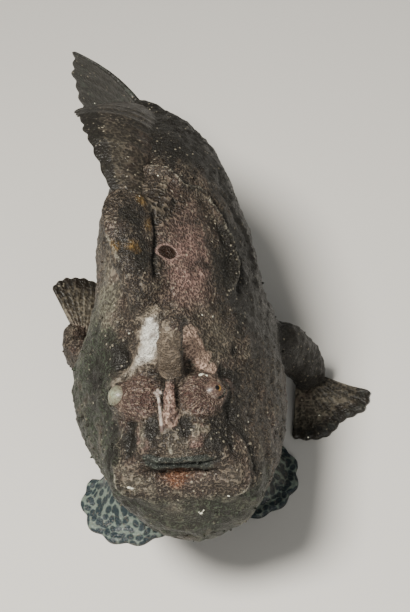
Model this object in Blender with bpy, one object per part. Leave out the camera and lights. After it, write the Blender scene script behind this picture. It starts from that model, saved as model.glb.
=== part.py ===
"""A giant frogfish at life size, sitting still on its fins.

The fish looks along -Y, its left side is +X and the floor is z = 0.  Sizes are written in
millimetres and turned into metres where a mesh is made.  Everything behind the shoulders is
first shaped on a straight fish and then bent with the tail, which is flexed to its right.
"""
import math

import bmesh
import bpy
import numpy as np
from mathutils import Matrix, Vector

MM = 0.001
GAP = 0.3  # clearance between two nodes that touch
SHARPEST_CORNER = 1.6  # a clearance reaches no further than this many gaps past a corner

# The body: rings from the mouth slit out over the lips, the head and back to the tail stalk.
# Each station gives the ring's top and bottom point on the midline (y, z), its half width,
# how high up the ring is widest (0 bottom, 1 top), and how much its back and its belly are
# pinched (1 is an ellipse, more is narrower).
BODY_STATIONS = (
    ((10.5, 80.6), (10.3, 79.2), 13.5, 0.50, 0.9, 0.9),  # floor of the mouth slit
    ((7.4, 83.6), (5.6, 76.6), 17.0, 0.50, 0.9, 0.9),  # crest of both lips
    ((10.0, 87.6), (2.5, 71.5), 21.0, 0.42, 1.0, 1.0),  # outer edge of the lips
    ((14.5, 91.0), (-0.5, 61.0), 23.5, 0.50, 1.15, 1.1),  # foot of the lure, front of the chin
    ((21.0, 94.0), (0.5, 48.0), 26.0, 0.52, 1.35, 1.15),  # snout and chin
    ((29.0, 98.0), (8.0, 33.5), 29.5, 0.53, 1.6, 1.25),  # front of the eyes
    ((40.0, 103.5), (21.0, 18.5), 34.0, 0.52, 1.65, 1.35),  # back of the eyes, throat
    ((53.0, 110.0), (38.0, 6.0), 38.0, 0.50, 1.5, 1.2),  # nape
    ((67.0, 116.0), (58.0, -0.5), 39.0, 0.46, 1.35, 1.0),  # third spine
    ((84.0, 120.5), (80.0, -2.0), 37.0, 0.46, 1.25, 0.85),  # shoulders
    ((103.0, 122.5), (102.0, -1.5), 34.0, 0.47, 1.15, 0.85),  # highest point of the back
    ((123.0, 120.5), (123.0, 4.0), 30.5, 0.48, 1.1, 0.9),  # flank
    ((143.0, 114.0), (143.0, 14.0), 26.0, 0.50, 1.05, 1.0),  # behind the vent
    ((161.0, 104.5), (161.0, 26.0), 20.5, 0.52, 1.0, 1.0),
    ((177.0, 95.0), (177.0, 36.0), 14.0, 0.52, 1.0, 1.0),
    ((191.0, 88.0), (191.0, 43.0), 9.0, 0.50, 1.0, 1.0),  # tail stalk
    ((203.0, 86.0), (203.0, 45.0), 5.5, 0.50, 1.0, 1.0),  # root of the tail fin
)
# The flank on the inside of the tail's bend is drawn in, most at this place along the fish
WAIST_SHARE = 0.17
WAIST_PLACE = 86.0
WAIST_REACH = 24.0
RINGS_PER_STATION = 3
RING_POINTS = 48
NECK_STATION = 7.0  # the head ends here
RUMP_STATION = 12.67  # the torso ends here

# Soft swellings and hollows of the body: centre, reach along x, y and z, and height.
# Each is made on both sides where its centre lies off the midline.
SWELLINGS = (
    ((12.2, 25.5, 93.5), (5.8, 7.0, 7.5), 4.0),  # streaked bulge before each eye
    ((15.5, 32.0, 91.5), (6.0, 7.0, 7.5), 3.0),  # eye mound
    ((0.0, 25.0, 96.0), (3.6, 9.0, 8.0), -2.2),  # hollow that takes the folded lure
    ((0.0, 13.0, 90.0), (4.0, 4.0, 4.0), 1.6),  # foot of the lure
    ((21.5, 12.0, 66.0), (4.5, 6.0, 8.5), 4.2),  # hanging corner of the mouth
    ((17.0, 3.0, 66.0), (8.0, 8.0, 5.0), -1.4),  # furrow under the lower lip
    ((30.0, 38.0, 70.0), (9.0, 12.0, 14.0), -2.0),  # hollow between cheek and brow
    ((38.0, 62.0, 50.0), (16.0, 18.0, 22.0), 2.5),  # gill cover
    ((38.0, 94.0, 46.0), (14.0, 12.0, 16.0), 4.0),  # shoulder of the arm
    ((10.0, 46.0, 107.0), (6.0, 9.0, 8.0), 1.5),  # edge of the nape
)
TOE_HEIGHT = 1.0  # middle of a planted fin's toes over the floor
SOLE_HEIGHT = 1.1  # whatever of a planted fin is lower than this is flattened to the floor
BELLY_REST = (0.0, 80.0, 0.0)  # middle of the belly's flat, which becomes the origin

# The tail swings to the fish's right behind this point
BEND_START = 110.0
TAIL_ROOT = 203.0
BEND_ANGLE = 42.0  # heading of the tail fin's root, in degrees from the head's
FIN_CURL = 14.0  # what the tail fin turns further over its own length
# The head turns a little to the fish's left before this point
TURN_START = 62.0
TURN_SIDEWAYS = 8.8  # how far the chin is moved by the turn
# The cheeks hang a little to the fish's left, most at this place in side view
CHEEK_SWAY = 2.8
CHEEK_PLACE = (28.0, 56.0)
CHEEK_REACH = (18.0, 24.0)
# The back leans to the fish's right behind the head
LEAN_START = 40.0
LEAN_LENGTH = 70.0
LEAN_SLOPE = 0.045
LEAN_HEIGHT = 48.0  # what is at this height stays where it is

# The jaw: the mouth line in side view, and how it droops towards the corners
MOUTH_FRONT = (10.4, 79.9)
MOUTH_SLOPE = 0.42
MOUTH_LEVEL = 13.5  # the line is straight this far to each side of the middle
MOUTH_DROOP = 13.0
MOUTH_DROOP_WIDTH = 12.5
MOUTH_DROOP_STATIONS = 4.5  # the face follows the droop as far back as this station
JAW_HINGE_TOP = 36.0
JAW_HINGE_BOTTOM = 24.0

EYE_CENTRE = (15.9, 30.7, 92.7)
EYE_RADIUS = 5.2

NOSTRIL_RADIUS = 1.5
NOSTRIL_HEIGHT = 1.8
NOSTRIL_AHEAD = (0.55, -0.6, 0.58)  # the left nostrils' pipes point this way
# From the foot up over the rim and down into the opening: height and width as shares
NOSTRIL_PROFILE = ((-1.0, 1.25), (0.6, 1.05), (1.0, 0.9), (0.95, 0.6), (0.2, 0.45))
FRONT_NOSTRIL = (14.5, 13.0, 83.5)
REAR_NOSTRIL = (17.5, 21.0, 85.0)

# The lure's rod lies folded back in its hollow and ends in a tuft
LURE_ROUTE = ((1.6, 13.0, 87.0), (1.5, 15.0, 92.5), (0.5, 19.5, 96.0), (-1.0, 24.5, 98.3))
LURE_RADII = (1.2, 0.75, 0.75, 0.6)
LURE_TUFT_CENTRE = (-1.2, 25.2, 98.8)
LURE_TUFT_RADIUS = 2.1
# The second spine stands up behind the lure and leans to the fish's left
SECOND_SPINE_ROUTE = ((2.4, 34.0, 94.0), (3.6, 34.5, 104.0), (5.2, 37.0, 114.0), (7.0, 42.0, 123.0))
SECOND_SPINE_WIDTHS = (5.2, 4.7, 4.3, 3.0)
SECOND_SPINE_DEPTHS = (5.6, 4.6, 4.0, 2.8)
# The third spine is a broad lobe of skin that lies back and to the fish's right
THIRD_SPINE_ROUTE = ((-2.5, 54.0, 109.0), (-4.5, 66.0, 117.0), (-6.5, 77.0, 122.5), (-7.0, 88.0, 125.5),
                     (-6.0, 98.0, 126.0))
THIRD_SPINE_WIDTHS = (4.0, 7.4, 9.6, 10.2, 7.8)
THIRD_SPINE_DEPTHS = (3.5, 4.4, 4.4, 4.0, 2.8)
THIRD_SPINE_ACROSS = (-0.8, 0.0, 0.6)

# Arms: shoulder, elbow and wrist, then half widths across and through the arm
LEFT_ARM_ROUTE = ((26.0, 88.0, 46.0), (38.0, 93.0, 39.0), (45.0, 98.0, 27.0), (48.0, 99.5, 14.0),
                  (48.5, 98.0, 5.5))
LEFT_ARM_ACROSS = (0.7, 0.7, 0.2)
RIGHT_ARM_ROUTE = ((-22.0, 84.0, 46.0), (-34.0, 87.0, 43.5), (-42.0, 92.0, 42.0), (-44.5, 98.5, 42.5),
                   (-44.0, 105.0, 43.5))
RIGHT_ARM_ACROSS = (-0.3, 0.0, 1.0)
ARM_WIDTHS = (12.0, 11.0, 9.0, 8.0, 7.5)
ARM_DEPTHS = (9.0, 8.0, 6.0, 4.6, 3.2)

ARM_RAYS = 10
ARM_RAY_REACH = 31.5  # from the middle of the wrist to the ray tips
HAND_INNER = 5.0  # the rays start this far from the middle of the wrist, inside the arm
HAND_EDGE_REACH = 0.86  # reach of the first and last ray, as a share of the middle ones
LEFT_WRIST = (45.0, 102.0, 0.0)
LEFT_WRIST_HEIGHT = 5.0
LEFT_HAND_AHEAD = (0.62, -0.78, 0.0)
LEFT_HAND_ASIDE = (0.78, 0.62, 0.0)
LEFT_HAND_ANGLES = (-42.0, 44.0)  # from straight ahead towards aside, in degrees
RIGHT_WRIST = (-42.0, 97.0, 42.0)
RIGHT_HAND_AHEAD = (0.0, 0.98, 0.2)
RIGHT_HAND_ASIDE = (-0.86, 0.0, 0.5)
RIGHT_HAND_ANGLES = (-36.0, 32.0)

PELVIC_RAYS = 6
PELVIC_RAY_THICKNESS = 6.0
PELVIC_WEB_THICKNESS = 4.6
# Each pelvic fin: side, middle of its wrist, first and last angle from straight ahead
# outwards, and reach
PELVIC_FINS = (
    ("right_pelvic_fin", -1, (-20.0, 54.5, 0.0), (-22.0, 98.0), 29.0),
    ("left_pelvic_fin", 1, (18.0, 60.0, 0.0), (-4.0, 122.0), 25.5),
)
PELVIC_WRIST_HEIGHT = 18.0
PELVIC_INNER = 5.0
PELVIC_EDGE_REACH = 0.84

DORSAL_RAYS = 13
DORSAL_FRONT = 100.0
DORSAL_BACK = 189.0
DORSAL_HEIGHT = 30.0
DORSAL_ROOT = 4.0  # how deep the fin's foot is sunk into the back
DORSAL_FOLD = (66.0, 72.0)  # how far the first and the last ray are folded over, in degrees
DORSAL_RAKE = 0.25  # how far the rays lean back, as a share of their height
ANAL_RAYS = 8
ANAL_FRONT = 150.0
ANAL_BACK = 188.0
ANAL_LENGTH = 24.0
ANAL_ROOT = 4.0
ANAL_STEEPNESS = (34.0, 24.0)  # how far the first and the last ray point down, in degrees
ANAL_WAVE = 1.5
TAIL_RAYS = 9
TAIL_FIN_LENGTH = 43.0
TAIL_FIN_FOOT = 4.0  # depth of the fin's foot in the tail, and its margin to the top and bottom
TAIL_FIN_WAVE = 2.0
TAIL_FIN_ANGLES = (-24.0, 13.0)  # of the lowest and the highest ray over the level, in degrees

FIN_ROWS = 6
RAY_THICKNESS = 2.4
WEB_THICKNESS = 1.1
TIP_THICKNESS = 0.8
WEB_NOTCH = 0.07  # how far short of the ray tips the web ends, as a share of their length


def material(name, colour, roughness):
    """A plain principled material."""
    made = bpy.data.materials.new(name)
    made.use_nodes = True
    shader = made.node_tree.nodes["Principled BSDF"]
    shader.inputs["Base Color"].default_value = (*colour, 1.0)
    shader.inputs["Roughness"].default_value = roughness
    shader.inputs["Metallic"].default_value = 0.0
    return made


def smooth_curve(values, t):
    """Catmull-Rom curve through evenly spaced values, read at t counted in values."""
    values = np.asarray(values, float)
    last = len(values) - 1
    i = min(int(t), last - 1)
    f = t - i
    p1 = values[i]
    p2 = values[i + 1]
    p0 = values[i - 1] if i > 0 else 2 * p1 - p2
    p3 = values[i + 2] if i + 2 <= last else 2 * p2 - p1
    return 0.5 * (2 * p1 + (p2 - p0) * f + (2 * p0 - 5 * p1 + 4 * p2 - p3) * f ** 2
                  + (3 * p1 - p0 - 3 * p2 + p3) * f ** 3)


def smooth_step(t):
    t = min(max(t, 0.0), 1.0)
    return t * t * (3.0 - 2.0 * t)


def between(pair, share):
    return pair[0] + (pair[1] - pair[0]) * share


def heading(y):
    """Which way the straight fish's length runs at y once the tail is flexed."""
    body = min(max((y - BEND_START) / (TAIL_ROOT - BEND_START), 0.0), 1.0)
    fin = min(max((y - TAIL_ROOT) / TAIL_FIN_LENGTH, 0.0), 1.0)
    return math.radians(BEND_ANGLE * body ** 2.5 + FIN_CURL * fin)


def bend_line():
    """The flexed midline in plan, a point for each millimetre of the straight fish."""
    ys = np.arange(BEND_START, TAIL_ROOT + 2 * TAIL_FIN_LENGTH)
    turns = np.array([heading(y + 0.5) for y in ys])
    xs = np.concatenate(([0.0], -np.cumsum(np.sin(turns))))
    forward = np.concatenate(([BEND_START], BEND_START + np.cumsum(np.cos(turns))))
    return np.append(ys, ys[-1] + 1), xs, forward


def bend(point):
    """Moves a point of the straight fish to its place on the fish with its tail flexed."""
    x, y, z = point
    x += TURN_SIDEWAYS * (max(TURN_START - y, 0.0) / TURN_START) ** 2
    off_cheek = ((y - CHEEK_PLACE[0]) / CHEEK_REACH[0]) ** 2 + ((z - CHEEK_PLACE[1]) / CHEEK_REACH[1]) ** 2
    x += CHEEK_SWAY * math.exp(-off_cheek)
    x -= LEAN_SLOPE * smooth_step((y - LEAN_START) / LEAN_LENGTH) * (z - LEAN_HEIGHT)
    if y <= BEND_START:
        return (x, y, z)
    ys, xs, forward = BEND_LINE
    turn = heading(y)
    middle_x = float(np.interp(y, ys, xs))
    middle_y = float(np.interp(y, ys, forward))
    return (middle_x + x * math.cos(turn), middle_y + x * math.sin(turn), z)


def station(t):
    """The body's own measures at t, counted in stations."""
    tops = smooth_curve([s[0] for s in BODY_STATIONS], t)
    bottoms = smooth_curve([s[1] for s in BODY_STATIONS], t)
    others = smooth_curve([s[2:] for s in BODY_STATIONS], t)
    return tops, bottoms, others


def midline_height(y, top=True):
    """Height of the back or of the belly at y on the straight fish."""
    ts = np.linspace(0, len(BODY_STATIONS) - 1, 321)
    line = np.array([station(t)[0 if top else 1] for t in ts])
    keep = line[:, 0] >= np.maximum.accumulate(line[:, 0])
    return float(np.interp(y, line[keep, 0], line[keep, 1]))


def mouth_droop(x):
    """How far the mouth line hangs below its middle at x."""
    return MOUTH_DROOP * smooth_step((abs(x) - MOUTH_LEVEL) / MOUTH_DROOP_WIDTH)


def body_rings():
    """All rings of the whole body on the straight fish, swellings included."""
    count = (len(BODY_STATIONS) - 1) * RINGS_PER_STATION + 1
    rings = np.zeros((count, RING_POINTS, 3))
    angles = np.linspace(0.0, 2 * math.pi, RING_POINTS, endpoint=False)
    for i in range(count):
        top, bottom, (half, widest, crown, keel) = station(i / RINGS_PER_STATION)
        centre = bottom + widest * (top - bottom)
        up = np.maximum(np.cos(angles), 0.0)
        down = np.maximum(-np.cos(angles), 0.0)
        pinch = np.where(np.cos(angles) > 0, crown, keel)
        rings[i, :, 0] = half * np.sign(np.sin(angles)) * np.abs(np.sin(angles)) ** pinch
        waist = 1.0 - WAIST_SHARE * math.exp(-((centre[0] - WAIST_PLACE) / WAIST_REACH) ** 2)
        rings[i, :, 0] *= np.where(rings[i, :, 0] < 0, waist, 1.0)
        rings[i, :, 1:] = centre + np.outer(up, top - centre) + np.outer(down, bottom - centre)
        follow = 1.0 - smooth_step(i / RINGS_PER_STATION / MOUTH_DROOP_STATIONS)
        rings[i, :, 2] -= follow * np.array([mouth_droop(x) for x in rings[i, :, 0]])
    return swell(rings)


def ring_normals(rings):
    around = np.roll(rings, -1, axis=1) - np.roll(rings, 1, axis=1)
    along = np.gradient(rings, axis=0)
    normals = np.cross(around, along)
    return normals / np.maximum(np.linalg.norm(normals, axis=2, keepdims=True), 1e-9)


def swell(rings):
    """Raises the swellings along the body's own normals and flattens the belly."""
    normals = ring_normals(rings)
    height = np.zeros(rings.shape[:2])
    for (x, y, z), reach, rise in SWELLINGS:
        for side in ((1, -1) if x else (1,)):
            offset = (rings - np.array((side * x, y, z))) / np.array(reach)
            height += rise * np.exp(-np.sum(offset ** 2, axis=2))
    raised = rings + normals * height[:, :, None]
    raised[:, :, 2] = np.maximum(raised[:, :, 2], 0.0)
    return raised


def object_from(name, points, faces, finish):
    """A node from points in millimetres; its faces are turned outwards."""
    mesh = bmesh.new()
    corners = [mesh.verts.new(Vector(p) * MM) for p in points]
    for face in faces:
        mesh.faces.new([corners[i] for i in face])
    bmesh.ops.recalc_face_normals(mesh, faces=mesh.faces)
    data = bpy.data.meshes.new(name)
    mesh.to_mesh(data)
    mesh.free()
    data.materials.append(finish)
    data.shade_smooth()
    data.set_sharp_from_angle(angle=math.radians(50))
    made = bpy.data.objects.new(name, data)
    bpy.context.scene.collection.objects.link(made)
    return made


def tube_faces(rings, sides, first_cap=True, last_cap=True):
    """Triangles that join equal rings; each cap is a fan round a centre point added after."""
    faces = []
    for i in range(rings - 1):
        for k in range(sides):
            a = i * sides + k
            b = i * sides + (k + 1) % sides
            c = a + sides
            d = b + sides
            faces.append((a, b, d))
            faces.append((a, d, c))
    middle = rings * sides
    for k in range(sides):
        if first_cap:
            faces.append((middle, (k + 1) % sides, k))
        if last_cap:
            end = (rings - 1) * sides
            faces.append((middle + 1, end + k, end + (k + 1) % sides))
    return faces


def body_length(name, rings, first, last, finish):
    """One length of the body, from ring to ring, closed by a flat cap at each end."""
    part = rings[first:last + 1].copy()
    if first > 0:
        # the clearance comes off the rear piece, along the fish
        part[0] += (part[1] - part[0]) * GAP / np.linalg.norm(part[1] - part[0], axis=1, keepdims=True)
    points = [bend(p) for p in part.reshape(-1, 3)]
    points.append(bend(part[0].mean(axis=0)))
    points.append(bend(part[-1].mean(axis=0)))
    return object_from(name, points, tube_faces(len(part), RING_POINTS), finish)


def tube(name, route, across, through, side_axis, finish, sides=14, steps=13):
    """A tapered limb of oval section with round ends along a smooth route."""
    last = len(route) - 1
    axis = np.array(side_axis, float)
    points = []
    for i in range(steps):
        t = last * i / (steps - 1)
        place = smooth_curve(route, t)
        ahead = smooth_curve(route, min(t + 0.05, last)) - smooth_curve(route, max(t - 0.05, 0))
        ahead /= np.linalg.norm(ahead)
        wide = axis - ahead * axis.dot(ahead)
        wide /= np.linalg.norm(wide)
        thin = np.cross(ahead, wide)
        rounding = 0.55 if i in (0, steps - 1) else 1.0
        a = float(smooth_curve(across, t)) * rounding
        b = float(smooth_curve(through, t)) * rounding
        for k in range(sides):
            turn = 2 * math.pi * k / sides
            points.append(place + wide * a * math.cos(turn) + thin * b * math.sin(turn))
    points.append(np.mean(points[:sides], axis=0))
    points.append(np.mean(points[-1 - sides:-1], axis=0))
    return object_from(name, points, tube_faces(steps, sides), finish)


def rayed_sheet(name, rays, rows, place, finish, ray=RAY_THICKNESS, web=WEB_THICKNESS, planted=False):
    """A fin: a thin sheet with a raised ridge along each ray, split alike on both faces.

    place(u, v) gives the middle of the sheet, u from the first ray to the last and v from the
    root to the tip.  The web between two rays stops short of their tips.
    """
    columns = 2 * rays - 1
    grid = np.zeros((columns, rows, 3))
    for c in range(columns):
        reach = 1.0 - WEB_NOTCH * (c % 2)
        for r in range(rows):
            grid[c, r] = place(c / (columns - 1), reach * r / (rows - 1))
    across = np.gradient(grid, axis=0)
    along = np.gradient(grid, axis=1)
    normals = np.cross(across, along)
    normals /= np.linalg.norm(normals, axis=2, keepdims=True)
    points = []
    for side in (0.5, -0.5):
        for c in range(columns):
            root = ray if c % 2 == 0 else web
            for r in range(rows):
                v = r / (rows - 1)
                thick = root * (1 - v) + TIP_THICKNESS * v
                point = grid[c, r] + normals[c, r] * side * thick
                if planted and point[2] < SOLE_HEIGHT:
                    point[2] = 0.0
                points.append(point)
    faces = []
    back = columns * rows
    for c in range(columns - 1):
        for r in range(rows - 1):
            a = c * rows + r
            b = a + rows
            faces += [(a, b, b + 1), (a, b + 1, a + 1)]
            faces += [(back + a, back + b + 1, back + b), (back + a, back + a + 1, back + b + 1)]
    rim = [c * rows for c in range(columns)]
    rim += [(columns - 1) * rows + r for r in range(1, rows)]
    rim += [c * rows + rows - 1 for c in range(columns - 2, -1, -1)]
    rim += [r for r in range(rows - 2, 0, -1)]
    for k, a in enumerate(rim):
        b = rim[(k + 1) % len(rim)]
        faces += [(a, back + a, back + b), (a, back + b, b)]
    return object_from(name, points, faces, finish)


def cut(target, cutter):
    """Takes the cutter's volume out of the target and keeps the largest piece."""
    boolean(target, cutter, "DIFFERENCE")


def boolean(target, other, operation):
    step = target.modifiers.new("cut", "BOOLEAN")
    step.operation = operation
    step.solver = "EXACT"
    step.object = other
    bpy.context.view_layer.update()
    result = bpy.data.meshes.new_from_object(target.evaluated_get(bpy.context.evaluated_depsgraph_get()))
    target.modifiers.remove(step)
    target.data = result
    keep_largest(result)
    result.shade_smooth()
    result.set_sharp_from_angle(angle=math.radians(50))


def keep_largest(data):
    """Drops every closed surface of a mesh but the one with most volume."""
    mesh = bmesh.new()
    mesh.from_mesh(data)
    bmesh.ops.remove_doubles(mesh, verts=mesh.verts, dist=1e-6)
    bmesh.ops.dissolve_degenerate(mesh, edges=mesh.edges, dist=1e-7)
    bmesh.ops.triangulate(mesh, faces=mesh.faces)
    left = set(mesh.faces)
    shells = []
    while left:
        shell = [left.pop()]
        for face in shell:
            for edge in face.edges:
                for near in edge.link_faces:
                    if near in left:
                        left.discard(near)
                        shell.append(near)
        shells.append(shell)
    shells.sort(key=lambda shell: -abs(shell_volume(shell)))
    for shell in shells[1:]:
        bmesh.ops.delete(mesh, geom=shell, context="FACES")
    loose = [v for v in mesh.verts if not v.link_faces]
    bmesh.ops.delete(mesh, geom=loose, context="VERTS")
    mesh.to_mesh(data)
    mesh.free()


def shell_volume(faces):
    total = 0.0
    for face in faces:
        a, b, c = [v.co for v in face.verts]
        total += a.dot(b.cross(c)) / 6.0
    return total


def grown(source, distance):
    """A hidden copy of a node, swollen by a clearance, to cut its neighbours with."""
    data = source.data.copy()
    mesh = bmesh.new()
    mesh.from_mesh(data)
    mesh.normal_update()
    moves = [v.normal * distance * MM * min(v.calc_shell_factor(), SHARPEST_CORNER) for v in mesh.verts]
    for vert, move in zip(mesh.verts, moves):
        vert.co += move
    mesh.to_mesh(data)
    mesh.free()
    made = bpy.data.objects.new(source.name + "_clearance", data)
    made.hide_render = True
    made.display_type = "WIRE"
    bpy.context.scene.collection.objects.link(made)
    return made


def drop(*objects):
    for made in objects:
        bpy.data.objects.remove(made, do_unlink=True)


def join_pieces(target, pieces):
    """Fuses small pieces into the node they grow from."""
    group = bpy.data.collections.new(target.name + "_pieces")
    bpy.context.scene.collection.children.link(group)
    for piece in pieces:
        group.objects.link(piece)
    step = target.modifiers.new("join", "BOOLEAN")
    step.operation = "UNION"
    step.solver = "EXACT"
    step.operand_type = "COLLECTION"
    step.collection = group
    bpy.context.view_layer.update()
    result = bpy.data.meshes.new_from_object(target.evaluated_get(bpy.context.evaluated_depsgraph_get()))
    target.modifiers.remove(step)
    target.data = result
    drop(*pieces)
    bpy.data.collections.remove(group)
    keep_largest(result)
    result.shade_smooth()
    result.set_sharp_from_angle(angle=math.radians(50))


def ball(name, centre, radius, finish, segments=16, rings=10):
    mesh = bmesh.new()
    bmesh.ops.create_uvsphere(mesh, u_segments=segments, v_segments=rings, radius=radius * MM)
    bmesh.ops.triangulate(mesh, faces=mesh.faces)
    bmesh.ops.translate(mesh, verts=mesh.verts, vec=Vector(centre) * MM)
    data = bpy.data.meshes.new(name)
    mesh.to_mesh(data)
    mesh.free()
    data.materials.append(finish)
    data.shade_smooth()
    made = bpy.data.objects.new(name, data)
    bpy.context.scene.collection.objects.link(made)
    return made


def ring_pipe(name, centre, axis, radius, height, finish, sides=10):
    """A nostril: a short tube with a sunk mouth, standing on the skin."""
    ahead = np.array(axis, float)
    ahead /= np.linalg.norm(ahead)
    wide = np.cross(ahead, (0.0, 0.0, 1.0))
    wide /= np.linalg.norm(wide)
    thin = np.cross(ahead, wide)
    points = []
    for rise, width in NOSTRIL_PROFILE:
        for k in range(sides):
            turn = 2 * math.pi * k / sides
            spoke = wide * math.cos(turn) + thin * math.sin(turn)
            points.append(np.array(centre) + ahead * height * rise + spoke * radius * width)
    points.append(np.array(centre) - ahead * height)
    points.append(np.array(centre) + ahead * height * NOSTRIL_PROFILE[-1][0])
    return object_from(name, points, tube_faces(len(NOSTRIL_PROFILE), sides), finish)


def jaw_cutter(name, clearance):
    """The space of the lower jaw: under the drooping mouth line and before the hinge."""
    far = 60.0
    below = -30.0
    middle = bend((0.0, *MOUTH_FRONT))[0]
    columns = np.linspace(-64.0, 64.0, 17)
    points = []
    for column in columns:
        x = middle + column
        front = MOUTH_FRONT[1] - mouth_droop(column) - clearance
        hinge = JAW_HINGE_TOP - clearance
        points.append((x, -far, front + MOUTH_SLOPE * (far + MOUTH_FRONT[0])))
        points.append((x, hinge, front - MOUTH_SLOPE * (hinge - MOUTH_FRONT[0])))
        points.append((x, JAW_HINGE_BOTTOM - clearance, below))
        points.append((x, -far, below))
    faces = []
    for i in range(len(columns) - 1):
        for k in range(4):
            a = i * 4 + k
            b = i * 4 + (k + 1) % 4
            faces += [(a, b, b + 4), (a, b + 4, a + 4)]
    end = (len(columns) - 1) * 4
    faces += [(0, 3, 2), (0, 2, 1), (end, end + 1, end + 2), (end, end + 2, end + 3)]
    made = object_from(name, points, faces, bpy.data.materials[0])
    made.hide_render = True
    made.display_type = "WIRE"
    return made


def build_body(skin, chin):
    """Head, lower jaw, torso and tail, cut from one body, and the whole body for clearances."""
    rings = body_rings()
    last = len(rings) - 1
    neck = round(NECK_STATION * RINGS_PER_STATION)
    rump = round(RUMP_STATION * RINGS_PER_STATION)
    whole = body_length("whole_body", rings, 0, last, skin)
    head = body_length("head", rings, 0, neck, skin)
    body_length("torso", rings, neck, rump, skin)
    body_length("tail_base", rings, rump, last, skin)
    jaw = body_length("lower_jaw", rings, 0, neck, chin)
    space = jaw_cutter("jaw_space", 0.0)
    cut(head, space)
    drop(space)
    space = jaw_cutter("jaw_space", GAP)
    boolean(jaw, space, "INTERSECT")
    drop(space)
    clearance = grown(whole, GAP)
    drop(whole)
    return head, clearance


def build_eyes(head, finish):
    for side, name in ((1, "left_eye"), (-1, "right_eye")):
        x, y, z = EYE_CENTRE
        centre = bend((side * x, y, z))
        ball(name, centre, EYE_RADIUS, finish)
        socket = ball("socket", centre, EYE_RADIUS + GAP, finish)
        cut(head, socket)
        drop(socket)


def build_nostrils(head, finish):
    pipes = []
    for side in (1, -1):
        ahead = (side * NOSTRIL_AHEAD[0], NOSTRIL_AHEAD[1], NOSTRIL_AHEAD[2])
        for x, y, z in (FRONT_NOSTRIL, REAR_NOSTRIL):
            place = bend((side * x, y, z))
            pipes.append(ring_pipe("nostril", place, ahead, NOSTRIL_RADIUS, NOSTRIL_HEIGHT, finish))
    join_pieces(head, pipes)


def build_spines(skin, clearance):
    """The lure's rod with its tuft, the second spine and the big third spine lobe."""
    sideways = (1.0, 0.0, 0.0)
    rod = tube("lure_spine", [bend(p) for p in LURE_ROUTE], LURE_RADII, LURE_RADII, sideways, skin,
               sides=8, steps=10)
    tuft = ball("tuft", bend(LURE_TUFT_CENTRE), LURE_TUFT_RADIUS, skin, segments=10, rings=6)
    join_pieces(rod, [tuft])
    second = tube("second_spine", [bend(p) for p in SECOND_SPINE_ROUTE], SECOND_SPINE_WIDTHS,
                  SECOND_SPINE_DEPTHS, sideways, skin)
    third = tube("third_spine", [bend(p) for p in THIRD_SPINE_ROUTE], THIRD_SPINE_WIDTHS,
                 THIRD_SPINE_DEPTHS, THIRD_SPINE_ACROSS, skin, sides=16)
    for made in (rod, second, third):
        cut(made, clearance)


def build_arm(side_name, route, side_axis, hand_place, planted, skin, fin, clearance):
    arm = tube(side_name + "_arm", route, ARM_WIDTHS, ARM_DEPTHS, side_axis, skin)
    cut(arm, clearance)
    hand = rayed_sheet(side_name + "_hand", ARM_RAYS, FIN_ROWS, hand_place, fin, planted=planted)
    space = grown(arm, GAP)
    cut(hand, space)
    cut(hand, clearance)
    drop(space)


def fan(wrist, ahead, aside, angles, inner, reach, edge_reach):
    """Middle surface of a spread fin whose rays turn apart round the middle of its wrist.

    The two angles are measured from the direction ahead towards the direction aside.  The
    rays at both edges are shorter by edge_reach.
    """
    wrist = np.array(wrist)
    ahead = np.array(ahead)
    aside = np.array(aside)

    def place(u, v):
        angle = math.radians(between(angles, u))
        length = reach * (edge_reach + (1 - edge_reach) * math.sin(math.pi * u) ** 0.7)
        return wrist + (ahead * math.cos(angle) + aside * math.sin(angle)) * between((inner, length), v)
    return place


def planted_fan(wrist_height, *spread):
    """A fan that comes down from its wrist and lies with its toes on the floor."""
    flat = fan(*spread)

    def place(u, v):
        point = flat(u, v)
        point[2] = TOE_HEIGHT + (wrist_height - TOE_HEIGHT) * (1 - smooth_step(1.3 * v))
        return point
    return place


def build_hands(skin, fin, clearance):
    """The left hand is planted with its rays forward and out; the right one is lifted back."""
    planted = planted_fan(LEFT_WRIST_HEIGHT, LEFT_WRIST, LEFT_HAND_AHEAD, LEFT_HAND_ASIDE,
                          LEFT_HAND_ANGLES, HAND_INNER, ARM_RAY_REACH, HAND_EDGE_REACH)
    build_arm("left", LEFT_ARM_ROUTE, LEFT_ARM_ACROSS, planted, True, skin, fin, clearance)
    lifted = fan(RIGHT_WRIST, RIGHT_HAND_AHEAD, RIGHT_HAND_ASIDE, RIGHT_HAND_ANGLES,
                 HAND_INNER, ARM_RAY_REACH, HAND_EDGE_REACH)
    build_arm("right", RIGHT_ARM_ROUTE, RIGHT_ARM_ACROSS, lifted, False, skin, fin, clearance)


def build_pelvics(fin, clearance):
    """The two foot-like fins under the throat, planted before the belly."""
    for name, side, wrist, angles, reach in PELVIC_FINS:
        ahead = (0.0, -1.0, 0.0)
        aside = (side, 0.0, 0.0)
        spread = planted_fan(PELVIC_WRIST_HEIGHT, wrist, ahead, aside, angles, PELVIC_INNER, reach,
                             PELVIC_EDGE_REACH)
        foot = rayed_sheet(name, PELVIC_RAYS, FIN_ROWS, spread, fin, ray=PELVIC_RAY_THICKNESS,
                           web=PELVIC_WEB_THICKNESS, planted=True)
        cut(foot, clearance)


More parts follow.
